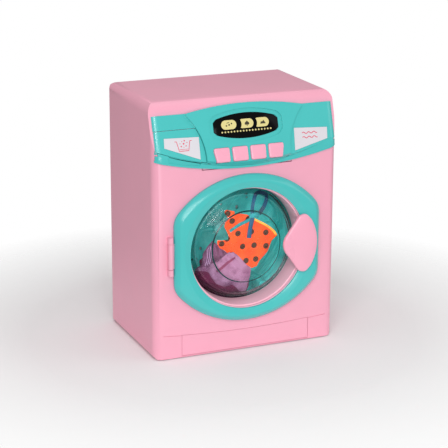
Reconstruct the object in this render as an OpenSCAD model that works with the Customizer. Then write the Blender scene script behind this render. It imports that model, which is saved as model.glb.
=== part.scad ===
// Toy washing machine with a swinging door, soap drawer, four keys and a geared drum.
// Origin: centre of the footprint on the ground. +X right, +Y to the back, +Z up. Millimetres.

/* [Cabinet] */
// width across the side walls
body_w = 186; // [184:1:190]
// height of the top above the ground
body_h = 244; // [242:1:248]
// thickness of the moulded walls
wall = 2.4; // [2.2:0.1:2.6]
// radius of the upright cabinet corners
corner_r = 9; // [7:0.5:10]
// lean of the control panel from upright, degrees
panel_tilt = 17; // [16:0.5:18]

/* [Door] */
// height of the door centre above the ground
door_z = 102.3; // [101:0.5:103]
// half the width of the door ring
ring_hw = 74; // [73:0.5:74]
// half the height of the door ring
ring_hh = 71.5; // [71:0.5:73]
// radius of the arcs along the top and bottom of the ring
ring_arc = 92; // [90:1:96]
// radius of the hole through the ring
ring_hole = 58.8; // [58.7:0.1:59]
// radius of the ring's outer corners
ring_r = 20; // [16:0.5:22]
// radius of the flat disc at the front of the window
disc_r = 34.5; // [32:0.5:36]

/* [Control panel] */
// spacing of the four keys
key_pitch = 18.2; // [18:0.1:18.4]
// half the width of the display
disp_hw = 32.5; // [31:0.5:33]
// half the height of the display
disp_hh = 11.8; // [11:0.2:12.4]
// radius of the arcs along the top and bottom of the display
disp_arc = 99; // [90:1:110]

/* [Drum and drive] */
// inside radius of the drum
drum_r = 61; // [60:0.5:61]
// depth of the drum from rim to back
drum_len = 48; // [47:0.5:48]
// height of the lifter ribs inside the drum
lifter_h = 8; // [6:0.5:9]
// teeth on the drum gear
n_drum = 48; // [48:1:48]
// teeth on the small end of the middle gear
n_mid_small = 12; // [12:1:12]
// teeth on the large end of the middle gear
n_mid_large = 40; // [40:1:40]
// teeth on the motor pinion
n_pinion = 12; // [12:1:12]
// tooth module of the drum stage
mod_a = 1.0; // [1:0.1:1]
// tooth module of the motor stage
mod_b = 0.7; // [0.7:0.1:0.7]

/* [Hidden] */
$fn = 96;
yf = -57;                       // front face of the cabinet
yb = 69;                        // back face
z0 = 1;                         // underside of the cabinet, above its feet
split_y = 4;                    // parting line between the shells
yp0 = -62.5;                    // panel plane passes through y = yp0 at z = zp0
zp0 = 184;
st = sin(panel_tilt);
ct = cos(panel_tilt);
r_top = 12.7;                   // front top roll
r_back = 9;
zc1 = body_h - r_top;
yc1 = yp0 + ((zc1 - zp0) * st + 2.5 + r_top) / ct;
hinge_x = -77.6;
hinge_y = -60;
duct_r = 61.5;                  // door opening in the cabinet
drum_y0 = -36;
drum_y1 = drum_y0 + drum_len;
a_pitch = mod_a * (n_drum + n_mid_small) / 2;
b_pitch = mod_b * (n_mid_large + n_pinion) / 2;
mid_a = 30;                     // direction of the middle gear from the drum axis
pin_a = -30;                    // direction of the pinion from the middle gear
mid_x = a_pitch * cos(mid_a);
mid_z = a_pitch * sin(mid_a);
pin_x = mid_x + b_pitch * cos(pin_a);
pin_z = mid_z + b_pitch * sin(pin_a);
wing_r = 60;                    // arc between console and wings
wing_cx = 102;
bev_r = 245;                    // arc of the bevel edge under the panel, and its centre
bev_v = 246.5;
arc_r = 350;                    // arc of the lip under the panel
con_n = 2.0;                    // console stands this far proud of the wings
plate_n = -1.2;                 // back of the console plate
ring_t = 7;                     // thickness of the door ring
crest_r = 65.5;                 // crest of the dished inner edge
dish = 1.8;                     // depth of the dish
rim_w = 3.4;                    // wall of the ring round its hollow back
edge_w = 1.8;                   // wall of the ring beside the liner's flange
flange_in = 2.1;                // flange of the liner stops this far inside the ring
collar_r = 59.8;                // outside of the liner's collar
collar_h = 3.5;                 // collar stands this far into the ring
key_w = 15.5;
key_h = 13.4;
key_v = 10.3;                   // height of the keys up the panel
slit = 1.1;                     // finger gap under the drawer front
lip_y = -58.6;                  // front of the lip under the panel
step_n = 0.3;                   // step from the wings down to that lip

post_r = 4;                     // screw posts of the cabinet
pilot_r = 1.5;                  // and the holes that their screws bite into
clear_r = 1.7;
head_r = 2.8;
seat_y = 53.8;                  // floor of the counterbores in the back
post_rib = 0.9;                 // half the thickness of the web behind a post
foot_r = 7;

pin_r = 1.2;                    // hinge pin, its knuckles and the door's barrel
pin_h = 36;
knuckle_r = 2.6;
knuckle_h = 6;
knuckle_z = 15.5;
barrel_r = 2.5;
barrel_h = 24.4;
latch_x = 67.5;                 // middle of the latch tongue
tongue_t = 1.8;
tongue_w = 10;

tray_x = [-78.4, -48.4];        // soap tray, and the guide round it
tray_y = [-61, -8];
tray_z = [198.6, 210.5];
tray_t = 1.6;
tray_gap = 0.5;

gear_y = [20.6, 26.4];          // drum gear
stage_y = [28, 31.6];           // large end of the middle gear
box_y = [17, 35];               // gearbox, from its front to its cover
box_t = 1.8;
shaft_r = 2.0;
axle_r = 1.25;
motor_r = 1.0;
motor_y = [38.4, 62.4];

sp_x = -46;                     // speaker
sp_z = 178;
sp_r = 18;

cell_r = 7.1;                   // three cells of the AA size
cell_l = 49.6;
cell_y = 57.4;
bat_z = [20.2, 36, 51.8];
bay_w = 30.4;                   // half the width of the battery box
bay_z = [10.6, 61.4];
cover_z = 15.4;                 // screw of the battery cover
switch_x = 51.5;
switch_z = 40;

pink = [0.97, 0.67, 0.77];
pink2 = [1.0, 0.68, 0.78];
teal = [0.32, 0.78, 0.75];
dark = [0.05, 0.05, 0.05];
white = [0.87, 0.86, 0.89];
steel = [0.72, 0.73, 0.75];

// ---------- shared shapes ----------

module rrect(w, h, r) {
    square([w - 2 * r, h], center = true);
    square([w, h - 2 * r], center = true);
    for (x = [-1, 1], y = [-1, 1]) translate([x * (w / 2 - r), y * (h / 2 - r)]) circle(r = r);
}

// barrel outline: upright sides, arched top and bottom, rounded corners
module barrel(hw, hh, R, r) {
    cx = hw - r;
    cz = hh - R + sqrt((R - r) * (R - r) - cx * cx);
    a = atan2(cz - hh + R, cx);
    far = 3 * r + 3;
    difference() {
        intersection() {
            translate([0, hh - R]) circle(r = R, $fn = 240);
            translate([0, R - hh]) circle(r = R, $fn = 240);
            square([2 * hw, 4 * hh], center = true);
        }
        for (mx = [0, 1], my = [0, 1]) mirror([mx, 0]) mirror([0, my]) translate([cx, cz]) difference() {
            polygon([[0, 0], [far, 0], [far * 1.1, far / 2], [far * cos(a), far * sin(a)]]);
            circle(r = r);
        }
    }
}

// stand a profile drawn in (x, z) at depth y, growing towards the back
module upright(y, h) translate([0, y + h, 0]) rotate([90, 0, 0]) linear_extrude(height = h) children();

// turn a profile drawn in (radius, -y) about the door and drum axis
module about_y() translate([0, 0, door_z]) rotate([90, 0, 0]) rotate_extrude($fn = 160) children();

// panel frame: x across, y up the slope, z out of the panel
module on_panel() translate([0, yp0, zp0]) rotate([90 - panel_tilt, 0, 0]) children();

module panel_slab(n0, n1) translate([0, 0, n0]) linear_extrude(height = n1 - n0) children();

// ---------- cabinet ----------

module side2d(o) {
    zk = zp0 + (yf + o - yp0 - (2.5 + o) / ct) * ct / st;
    polygon([[yf + o, z0 + o], [yf + o, zk],
        [yc1 - (r_top - o) * ct, zc1 + (r_top - o) * st], [yc1, body_h - o],
        [yb - r_back, body_h - o], [yb - o, body_h - r_back], [yb - o, z0 + o]]);
    translate([yc1, zc1]) circle(r = r_top - o);
    translate([yb - r_back, body_h - r_back]) circle(r = r_back - o);
}

module front2d(o) {
    w = body_w / 2 - o;
    rt = 10 - o;
    polygon([[-w, z0 + 3], [-w + 3 - o, z0 + o], [w - 3 + o, z0 + o], [w, z0 + 3],
        [w, body_h - 10], [w - rt, body_h - o], [-w + rt, body_h - o], [-w, body_h - 10]]);
    for (s = [-1, 1]) translate([s * (w - rt), body_h - 10]) circle(r = rt);
}

module cabinet(o) intersection() {
    translate([0, (yf + yb) / 2, 0]) linear_extrude(height = body_h + 2)
        rrect(body_w - 2 * o, yb - yf - 2 * o, corner_r - o);
    translate([-body_w / 2 - 1, 0, 0]) rotate([90, 0, 90]) linear_extrude(height = body_w + 2) side2d(o);
    upright(yf - 8, 150) front2d(o);
}

module box(x0, x1, y0, y1, za, zb) translate([x0, y0, za]) cube([x1 - x0, y1 - y0, zb - za]);

module y_rod(x, z, y0, y1, r) translate([x, y1, z]) rotate([90, 0, 0]) cylinder(r = r, h = y1 - y0);

case_pts = [[-82, 24], [82, 24], [-84, 150], [84, 150], [-80, 226], [80, 226]];
foot_pts = [[-74, -42], [74, -42], [-74, 54], [74, 54]];

module door_hole(r, y0, y1) y_rod(0, door_z, y0, y1, r);

module kick2d(o) intersection() {
    translate([0, 10]) square([131 - 2 * o, 60], center = true);
    translate([0, 20.5 + 914]) difference() {
        square([400, 2000], center = true);
        circle(r = 914 + o, $fn = 400);
    }
    translate([-100, z0 + 1.2 + o]) square([200, 60]);
}

// opening behind the drawer, its lower edge hidden by the panel
module drawer_hole2d() polygon([[-88.2, 212.2], [-46.6, 212.2], [-46.6, 186.2], [-50, 187],
    [-60, 188.8], [-70, 191.4], [-80, 194.7], [-88.2, 198]]);

module front_shell() color(pink) difference() {
    union() {
        difference() {
            intersection() {
                cabinet(0);
                box(-120, 120, -80, split_y, -5, 260);
            }
            cabinet(wall);
        }
        // tongue that locates the rear shell
        difference() {
            intersection() {
                cabinet(1.3);
                box(-120, 120, split_y - 3, split_y + 2.4, -5, 260);
            }
            cabinet(wall);
        }
        // tunnel behind the door
        difference() {
            y_rod(0, door_z, yf + 0.5, -38, duct_r + 2);
            door_hole(duct_r, yf - 1, -37);
        }
        // hinge knuckles
        for (s = [-1, 1]) {
            zk = door_z + s * knuckle_z - knuckle_h / 2;
            translate([hinge_x, hinge_y, zk]) cylinder(r = knuckle_r, h = knuckle_h);
            box(hinge_x - knuckle_r, hinge_x + knuckle_r, hinge_y, yf + 1, zk, zk + knuckle_h);
        }
        // screw posts
        for (p = case_pts) {
            y0 = p[1] > 200 ? -24 : -50;
            y_rod(p[0], p[1], y0, split_y - 0.1, post_r);
            box(p[0] > 0 ? p[0] : 1 - body_w / 2, p[0] > 0 ? body_w / 2 - 1 : p[0],
                y0, split_y - 0.1, p[1] - post_rib, p[1] + post_rib);
        }
        // stiffening ribs inside the front wall
        for (x = [-78, 78]) box(x - 0.8, x + 0.8, yf + 1, yf + 5.5, 30, 176);
        box(-78, 78, yf + 1, yf + 5.5, 29.2, 30.8);
        // ledge that backs the kick panel
        box(-68, 68, yf + 1.5, yf + 4.6, z0 + 1.5, 24);
    }
    door_hole(duct_r, yf - 1, -30);
    for (p = case_pts) y_rod(p[0], p[1], -18, split_y + 1, pilot_r);
    translate([hinge_x, hinge_y, door_z - pin_h / 2]) cylinder(r = pin_r + 0.02, h = pin_h);
    // latch slot
    box(latch_x - 2.3, latch_x + 2.1, yf - 1, yf + 6, door_z - 6, door_z + 6);
    // windows behind the control panel and for the drawer
    on_panel() {
        panel_slab(-14, 3) translate([0, 23.5]) square([89.6, 49], center = true);
        panel_slab(-14, 3) translate([0, 43]) square([110, 10], center = true);
    }
    upright(yf - 8, 25) drawer_hole2d();
    // kick panel recess and the line that runs on past it
    upright(yf - 1, 3.0) kick2d(-0.3);
    upright(yf - 1, 1.6) intersection() {
        translate([0, 20.5 + 914]) difference() {
            circle(r = 914.6, $fn = 400);
            circle(r = 914, $fn = 400);
        }
        translate([-84, 10]) square([168, 40]);
    }
    foot_pockets();
}

module foot_pockets() for (p = foot_pts) translate([p[0], p[1], -1]) cylinder(r = foot_r + 0.3, h = 3);

sp_holes = concat([[0, 0]], [for (i = [0:5]) [5 * cos(60 * i), 5 * sin(60 * i)]],
    [for (i = [0:11]) [10 * cos(30 * i), 10 * sin(30 * i)]],
    [for (i = [0:17]) [15 * cos(20 * i), 15 * sin(20 * i)]]);

module rear_shell() color(pink) difference() {
    union() {
        difference() {
            intersection() {
                cabinet(0);
                box(-120, 120, split_y, 100, -5, 260);
            }
            cabinet(wall);
            intersection() {
                cabinet(1.15);
                box(-120, 120, split_y - 1, split_y + 2.6, -5, 260);
            }
        }
        for (p = case_pts) {
            y_rod(p[0], p[1], split_y + 0.1, yb - 1, post_r);
            box(p[0] > 0 ? p[0] : 1.4 - body_w / 2, p[0] > 0 ? body_w / 2 - 1.4 : p[0],
                split_y + 4, yb - 12, p[1] - post_rib, p[1] + post_rib);
        }
        // posts that carry the gearbox
        for (p = gb_pts) y_rod(p[0], door_z + p[1], box_y[1] + 3.2, yb - 1, 3.4);
        // ring that holds the speaker
        difference() {
            y_rod(sp_x, sp_z, 59, yb - 1, sp_r + 2.5);
            y_rod(sp_x, sp_z, 58, yb, sp_r + 0.4);
        }
    }
    for (p = case_pts) {
        y_rod(p[0], p[1], split_y - 1, yb + 1, clear_r);
        y_rod(p[0], p[1], seat_y, yb + 1, head_r + 0.2);
    }
    for (p = gb_pts) y_rod(p[0], door_z + p[1], 37, 50, 1.3);
    for (p = sp_holes) y_rod(sp_x + p[0], sp_z + p[1], yb - wall - 1, yb + 1, 1.1);
    // battery bay
    box(-bay_w - 0.8, bay_w + 0.8, yb - wall - 1, yb + 1, bay_z[0] - 0.8, bay_z[1] + 0.8);
    // switch slot
    box(switch_x - 5.5, switch_x + 5.5, yb - wall - 1, yb + 1, switch_z - 2, switch_z + 2);
    // shallow moulded vents
    for (i = [0:6]) box(-50, 50, yb - 0.8, yb + 1, 196 + 4.5 * i, 198 + 4.5 * i);
    foot_pockets();
}

module kick_panel() color(pink) upright(yf, 1.8) kick2d(0);

module feet() color([0.25, 0.25, 0.27]) for (p = foot_pts) translate([p[0], p[1], 0]) {
    cylinder(r = foot_r, h = 1.9);
}

// cross slot in a screw head that faces along y
module cross_y(x, y, z, w, t, d) {
    translate([x, y, z]) cube([w, d, t], center = true);
    translate([x, y, z]) cube([t, d, w], center = true);
}

module case_screws() color(steel) for (p = case_pts) difference() {
    union() {
        y_rod(p[0], p[1], -14, seat_y + 0.2, pilot_r - 0.1);
        y_rod(p[0], p[1], seat_y, seat_y + 2, head_r);
    }
    cross_y(p[0], seat_y + 1.2, p[1], 3.6, 0.7, 2);
}

// ---------- control panel ----------

// round of the panel's ends, seen from above the slope
module panel_ends(n) translate([0, -20, 0]) rotate([90, 0, 0]) mirror([0, 0, 1])
    linear_extrude(height = 90) intersection() {
        translate([0, n - 25]) rrect(body_w, 50, 8);
        square([200, 60], center = true);
    }

module console2d(o) difference() {
    intersection() {
        translate([-60, -10]) square([120, 80]);
        translate([0, 57 - 293 - o]) circle(r = 293, $fn = 400);
    }
    for (s = [-1, 1]) translate([s * wing_cx, 8]) circle(r = wing_r + o, $fn = 200);
    for (s = [-1, 1]) translate([s * (70.4 - o), 60]) square([24, 40], center = true);
}

module wings2d() translate([-94, -20]) square([188, 71.3]);

// everything above the bevel edge, leaning back below it
module bevel_cut() translate([0, bev_v, 0]) rotate_extrude($fn = 480)
    polygon([[0, 3], [bev_r - 1.75, 3], [bev_r, 0], [bev_r + 5.2, -9], [bev_r + 5.2, -30], [0, -30]]);

module wing_solid(n) intersection() {
    panel_slab(-16, n) wings2d();
    panel_ends(n);
}

// what the flat middle of the cabinet front fills, a little oversize
module front_fill() {
    intersection() {
        on_panel() panel_slab(-40, -2.35) translate([0, -5]) square([200, 118.2], center = true);
        box(-90, 90, yf - 0.15, 40, 100, 300);
    }
    translate([-90, yc1, zc1]) rotate([0, 90, 0]) cylinder(r = r_top + 0.15, h = 180);
}

module panel_body() {
    intersection() {
        difference() {
            on_panel() wing_solid(0);
            cabinet(-0.15);
        }
        on_panel() bevel_cut();
    }
    difference() {
        on_panel() intersection() {
            panel_slab(-8, con_n) console2d(0);
            bevel_cut();
        }
        front_fill();
    }
    // lip that meets the cabinet front and runs up behind the wings
    difference() {
        intersection() {
            upright(lip_y, 4) intersection() {
                translate([0, 180 + arc_r]) circle(r = arc_r, $fn = 480);
                union() {
                    translate([-body_w / 2, 170]) square([body_w, 28]);
                    translate([4.5 - body_w / 2, 170]) square([body_w - 9, 37]);
                }
            }
            translate([0, (lip_y + yb) / 2, 0]) linear_extrude(height = 260)
                rrect(body_w, yb - lip_y, corner_r);
            on_panel() panel_slab(-30, -step_n) translate([-100, -20]) square([200, 80]);
        }
        cabinet(-0.15);
    }
}

// drawer window, in the panel frame
module drawer2d(o) intersection() {
    translate([-wing_cx, 8]) circle(r = wing_r - 0.4 - o, $fn = 200);
    translate([-90.2 + o, -10]) square([60, 47.2 - o]);
    translate([0, bev_v]) circle(r = bev_r - 0.1 - o, $fn = 480);
}

// gap under the drawer front, and the recess for a finger below it (in x and z)
module slit2d() polygon([[-78, 16], [-47, 8], [-47, 3.8 + slit], [-50, 4.4 + slit], [-60, 6.7 + slit],
    [-70, 9.4 + slit], [-78, 12 + slit]]);

module scoop2d() polygon([[-79, 198.2], [-68.4, 193.9], [-57.8, 190.6], [-47.3, 188.1],
    [-47.9, 185.6], [-58, 186.9], [-68, 188.6], [-79, 191.2]]);

// display outline: arched top and bottom, upright ends with cut corners
module display2d(o) translate([0, 36]) intersection() {
    hw = disp_hw + o;
    hh = disp_hh + o;
    arc = disp_arc + o;
    translate([0, hh - arc]) circle(r = arc, $fn = 240);
    translate([0, arc - hh]) circle(r = arc, $fn = 240);
    polygon([[hw, -0.36 * hh], [hw, 0.36 * hh], [hw - 0.3 * hh, 0.72 * hh], [0, 4 * hh],
        [0.3 * hh - hw, 0.72 * hh], [-hw, 0.36 * hh], [-hw, -0.36 * hh], [0.3 * hh - hw, -0.72 * hh],
        [0, -4 * hh], [hw - 0.3 * hh, -0.72 * hh]]);
}

// one key outline: rounded square, outer keys lean in at the bottom
module key2d(i, o) {
    w = key_w / 2 - o;
    lean = (i == 0 || i == 3) ? 2.0 : 0.4;
    s = i < 2 ? -1 : 1;
    x = (i - 1.5) * key_pitch;
    translate([x, key_v]) intersection() {
        rrect(2 * w, key_h - 2 * o, 2 - o);
        polygon([[-s * w, -7], [s * (w - lean), -7], [s * w, 3], [s * w, 7], [-s * w, 7]]);
    }
}

panel_posts = [[-39.2, 18.6], [39.2, 18.6], [-49.5, 44], [49.5, 44]];

// name plates, o oversize for the pockets that they lie in
module plate_left2d(o) polygon([[-47.4 + o, 29.2 + o], [-81.4 - o, 30.4 + o], [-81.9 - o, 21.6 - 1.2 * o],
    [-47.9 + o, 8.4 - 1.4 * o]]);

module plate_right2d(o) polygon([[48.6 - o, 29.3 + o], [82.8 + o, 27.4 + o], [82 + o, 16.8 - 1.2 * o],
    [47.5 - o, 8.2 - 1.4 * o]]);

module control_panel() color(teal) difference() {
    union() {
        difference() {
            panel_body();
            // hollow behind the skin
            on_panel() {
                panel_slab(-20, -2.2) intersection() {
                    translate([0, bev_v]) circle(r = bev_r - 3, $fn = 480);
                    translate([-body_w / 2 + 2.4, -4]) square([body_w - 4.8, 52]);
                }
                panel_slab(-20, plate_n) translate([0, 24.6]) square([82, 42], center = true);
            }
        }
        on_panel() for (p = panel_posts) translate([p[0], p[1], -6.9]) cylinder(r = 2.8, h = 5.9);
    }
    on_panel() {
        panel_slab(0.9, 4) display2d(4);
        panel_slab(-0.2, 4) display2d(0.15);
        panel_slab(-3, 4) display2d(-1.6);
        for (i = [0:3]) panel_slab(-4, 4) key2d(i, -0.25);
        panel_slab(-0.25, 2) plate_right2d(0.15);
        panel_slab(-18, 2) drawer2d(-0.35);
        panel_slab(-18, 2) slit2d();
        for (p = panel_posts) translate([p[0], p[1], -8]) cylinder(r = 1.1, h = 5.5);
    }
    upright(yf - 8, 7.3) scoop2d();
}

module panel_screws() color(steel) on_panel() for (p = panel_posts) difference() {
    union() {
        translate([p[0], p[1], -8.6]) cylinder(r = 1.0, h = 5.6);
        translate([p[0], p[1], -10.2]) cylinder(r = 2.2, h = 1.6);
    }
    translate([p[0], p[1], -10.2]) cube([3, 0.6, 1.2], center = true);
    translate([p[0], p[1], -10.2]) cube([0.6, 3, 1.2], center = true);
}

module display_lens() color(dark) on_panel() panel_slab(-0.1, 1.3) display2d(0);

module pill(w, h) {
    square([w - h, h], center = true);
    for (s = [-1, 1]) translate([s * (w - h) / 2, 0]) circle(r = h / 2);
}

module display_icons() color([0.94, 0.89, 0.61]) on_panel() panel_slab(1.3, 1.55) {
    translate([-17.2, 37.6]) pill(15.2, 8.6);
    for (x = [0, 15.6]) difference() {
        translate([x, 37.6]) pill(15.2, 8.6);
        translate([x - 11.4, 37.6]) circle(r = 7);
    }
    for (i = [0:16]) translate([-24.4 + 3.05 * i, 31]) circle(r = 0.8, $fn = 24);
}

module panel_label() color(white) on_panel() panel_slab(-0.2, 0.15) plate_right2d(0);

module circuit_board() color([0.1, 0.4, 0.2]) on_panel() {
    difference() {
        panel_slab(-8.6, -7.0) translate([0, 25.5]) square([106, 43], center = true);
        translate([-54, -1, -10]) cube([9, 40, 5]);
        translate([45, -1, -10]) cube([9, 40, 5]);
        for (p = panel_posts) translate([p[0], p[1], -10]) cylinder(r = 1.1, h = 5);
    }
    for (p = [[-20, 22, 9, 6], [6, 20, 14, 8], [26, 40, 7, 5], [-34, 40, 6, 6]])
        translate([p[0], p[1], -10.4]) cube([p[2], p[3], 1.9]);
    for (x = [-30, -26, -22]) translate([x, 12, -12.5]) cylinder(r = 1.7, h = 4);
}

module status_leds() color([0.98, 0.95, 0.75]) on_panel() for (x = [-17.2, 0, 15.6])
    translate([x, 37.6, -6.95]) {
        cylinder(r = 1.9, h = 0.8);
        cylinder(r = 1.5, h = 3.4);
        translate([0, 0, 3.4]) sphere(r = 1.5, $fn = 32);
    }

module key_pad() color([0.75, 0.75, 0.78]) on_panel() {
    panel_slab(-6.95, -6.1) translate([0, key_v]) square([72, 14], center = true);
    for (i = [0:3]) translate([(i - 1.5) * key_pitch, key_v, -6.2]) cylinder(r1 = 4, r2 = 2.8, h = 1.2);
}

module key(i) color(pink2) on_panel() {
    panel_slab(-3.2, 3.5) key2d(i, 0);
    // flange that the panel keeps in
    panel_slab(-3.2, -1.5) translate([(i - 1.5) * key_pitch, key_v + 0.5])
        square([key_w + 1.6, key_h + 0.2], center = true);
}
module key_1() key(0);
module key_2() key(1);
module key_3() key(2);
module key_4() key(3);

// ---------- drawer ----------

module drawer_front() color(teal) on_panel() difference() {
    intersection() {
        panel_slab(-2.4, 0) drawer2d(0);
        panel_ends(0);
    }
    panel_slab(-0.25, 2) plate_left2d(0.15);
}

module drawer_tray() color([0.93, 0.93, 0.95]) difference() {
    box(tray_x[0], tray_x[1], tray_y[0], tray_y[1], tray_z[0], tray_z[1]);
    box(tray_x[0] + tray_t, tray_x[1] - tray_t, tray_y[0] - 9, tray_y[1] - tray_t,
        tray_z[0] + tray_t, tray_z[1] + 5);
    on_panel() panel_slab(-2.4, 20) square([400, 400], center = true);
}

module drawer_label() color(white) on_panel() panel_slab(-0.2, 0.15) plate_left2d(0);

module drawer_guide() color([0.8, 0.8, 0.83]) difference() {
    union() {
        box(tray_x[0] - 3, tray_x[1] + 3, -39, -3, tray_z[0] - 2, 206);
        // ribs to the side wall
        for (y = [-38, -6]) box(-90.5, tray_x[0] - 1.6, y, y + 1.6, tray_z[0] - 0.6, 205);
    }
    box(tray_x[0] - tray_gap, tray_x[1] + tray_gap, -45, -5, tray_z[0] - 0.4, 210);
    box(-72, -55, -30, -12, 190, 200);
}

// ---------- door ----------

edge = [[0, 0], [0, 2.2], [0.5, 3.2], [4.0, 6.3], [5.4, 7]];

module edge_rev(R) rotate_extrude($fn = 300)
    polygon(concat([[0, 0]], [for (e = edge) [R - e[0], e[1]]], [[0, 7]]));

module edge_slab(hw) rotate([90, 0, 0]) translate([0, 0, -90]) linear_extrude(height = 180)
    polygon(concat([for (e = edge) [hw - e[0], e[1]]],
        [for (i = [len(edge) - 1:-1:0]) [-hw + edge[i][0], edge[i][1]]]));

// solid barrel with a bevelled front, drawn lying down with its front up
module ring_solid(o) {
    hw = ring_hw - o;
    hh = ring_hh - o;
    R = ring_arc - o;
    r = ring_r - o;
    far = ring_r + 15;
    cx = hw - r;
    cz = hh - R + sqrt((R - r) * (R - r) - cx * cx);
    a = atan2(cz - hh + R, cx);
    difference() {
        intersection() {
            translate([0, hh - R, 0]) edge_rev(R);
            translate([0, R - hh, 0]) edge_rev(R);
            edge_slab(hw);
        }
        for (mx = [0, 1], my = [0, 1]) mirror([mx, 0, 0]) mirror([0, my, 0]) translate([cx, cz, 0])
            difference() {
                translate([0, 0, -1]) linear_extrude(height = 9)
                    polygon([[0, 0], [far, 0], [1.1 * far, far / 2], [far * cos(a), far * sin(a)]]);
                translate([0, 0, -1]) cylinder(r = r, h = 1.01);
                edge_rev(r);
            }
    }
}

// door frame: x right, y up, z towards the front, zero at the back of the door
module on_door() translate([0, yf - 0.5, door_z]) rotate([90, 0, 0]) children();

door_pts = [[-47, 47], [47, 47], [-47, -47], [47, -47]];

module door_ring() color(teal) {
    on_door() difference() {
        union() {
            difference() {
                ring_solid(0);
                // hollow back
                translate([0, 0, -1]) linear_extrude(height = 5.4) difference() {
                    barrel(ring_hw - rim_w, ring_hh - rim_w, ring_arc - rim_w, ring_r - rim_w);
                    circle(r = collar_r + 2.4, $fn = 200);
                }
                translate([0, 0, -1]) linear_extrude(height = 2.5)
                    barrel(ring_hw - edge_w, ring_hh - edge_w, ring_arc - edge_w, ring_r - edge_w);
            }
            for (p = door_pts) translate([p[0], p[1], 1.5]) cylinder(r = 3, h = 4);
            // latch tongue root
            translate([latch_x - tongue_t / 2, -tongue_w / 2, 1.5]) cube([tongue_t, tongue_w, 4]);
        }
        translate([0, 0, -1]) cylinder(r = ring_hole, h = 10, $fn = 200);
        // seat of the liner's collar, and the dished inner edge
        translate([0, 0, -1]) cylinder(r = collar_r + 0.1, h = 1.1 + collar_h, $fn = 200);
        translate([0, 0, ring_t - dish]) cylinder(r1 = ring_hole, r2 = crest_r, h = dish + 0.01, $fn = 200);
        for (p = door_pts) translate([p[0], p[1], 1]) cylinder(r = 1.1, h = 3.6);
        // notch for the hinge tab
        translate([-76, -12.6, -1]) cube([5.6, 25.2, 3]);
    }
    // latch tongue
    on_door() translate([latch_x - tongue_t / 2, -tongue_w / 2, -6.5]) cube([tongue_t, tongue_w, 8.5]);
}

// handle outline relative to the door centre
module handle2d(o) intersection() {
    translate([24.3, 0]) circle(r = 44.8 - o);
    polygon([[33.5 + 1.2 * o, 0], [48 + o, 28.4 - o], [53, 29.5 - o], [59, 28.6 - o], [75, 22], [75, -22],
        [59, -28.6 + o], [53, -29.5 + o], [48 + o, -28.4 + o]]);
}

module door_liner() color(pink2) {
    // collar with a groove behind its lip, and the band that slopes in to the window
    about_y() polygon([[58.6, 61.0], [collar_r, 61.0], [collar_r, 57.6], [58.5, 57.6], [58.5, 40],
        [55.7, 40], [57.0, 58.6], [57.2, 58.9], [58.7, 59.0], [58.8, 59.7], [58.5, 59.9]]);
    // flange that closes the back of the ring
    on_door() difference() {
        translate([0, 0, 0.1]) linear_extrude(height = 1.3)
            barrel(ring_hw - flange_in, ring_hh - flange_in, ring_arc - flange_in, ring_r - flange_in);
        translate([0, 0, -1]) cylinder(r = 58.1, h = 4, $fn = 200);
        for (p = door_pts) translate([p[0], p[1], -1]) cylinder(r = 1.4, h = 4);
        translate([66.2, -5.4, -1]) cube([2.6, 10.8, 4]);
    }
    // hinge barrel and the tab that carries it
    difference() {
        union() {
            translate([hinge_x, hinge_y, door_z - barrel_h / 2]) cylinder(r = barrel_r, h = barrel_h);
            box(hinge_x, -70.5, yf - 2.3, yf - 0.65, door_z - barrel_h / 2, door_z + barrel_h / 2);
        }
        translate([hinge_x, hinge_y, door_z - pin_h / 2 - 2]) cylinder(r = pin_r + 0.05, h = pin_h + 4);
    }
    // handle, crowned in steps, reaching over the ring to the collar
    on_door() {
        translate([0, 0, 7.2]) linear_extrude(height = 2.9) handle2d(0);
        translate([0, 0, 10]) linear_extrude(height = 0.8) handle2d(0.9);
        translate([0, 0, 10.7]) linear_extrude(height = 0.8) handle2d(2.6);
        translate([0, 0, 0.5]) linear_extrude(height = 6.9) intersection() {
            difference() {
                circle(r = ring_hole - 0.1, $fn = 200);
                circle(r = 57.3, $fn = 200);
            }
            handle2d(0.3);
        }
    }
}

module door_window() color([0.85, 0.95, 0.97, 0.35]) about_y()
    polygon([[0, 57], [disc_r, 57], [disc_r + 0.9, 56.1], [disc_r + 2.2, 55.9], [42.5, 52.6], [48, 48.6],
        [52.2, 44.4], [54.4, 39.9], [57.8, 39.9], [57.8, 38.4], [52.9, 38.4], [50.9, 43.5], [46.8, 47.4],
        [41.6, 51.2], [disc_r, 54.6], [disc_r - 1.2, 55.4], [0, 55.4]]);

module door_screws() color(steel) on_door() for (p = door_pts) difference() {
    union() {
        translate([p[0], p[1], 0]) cylinder(r = 1.0, h = 4.4);
        translate([p[0], p[1], -0.35]) cylinder(r = 2, h = 0.4);
    }
    translate([p[0], p[1], -0.3]) cube([2.6, 0.5, 0.5], center = true);
}

module hinge_pin() color(steel)
    translate([hinge_x, hinge_y, door_z - pin_h / 2]) cylinder(r = pin_r, h = pin_h);

module latch_catch() color([0.9, 0.9, 0.92]) difference() {
    box(latch_x - 3.8, latch_x + 3.9, yf + wall, yf + 9.5, door_z - 7.6, door_z + 7.6);
    box(latch_x - 2, latch_x + 1.8, yf + 1, yf + 8.3, door_z - 6, door_z + 6);
}

// ---------- drum ----------

lifter_a = [60, 180, 300];

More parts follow.
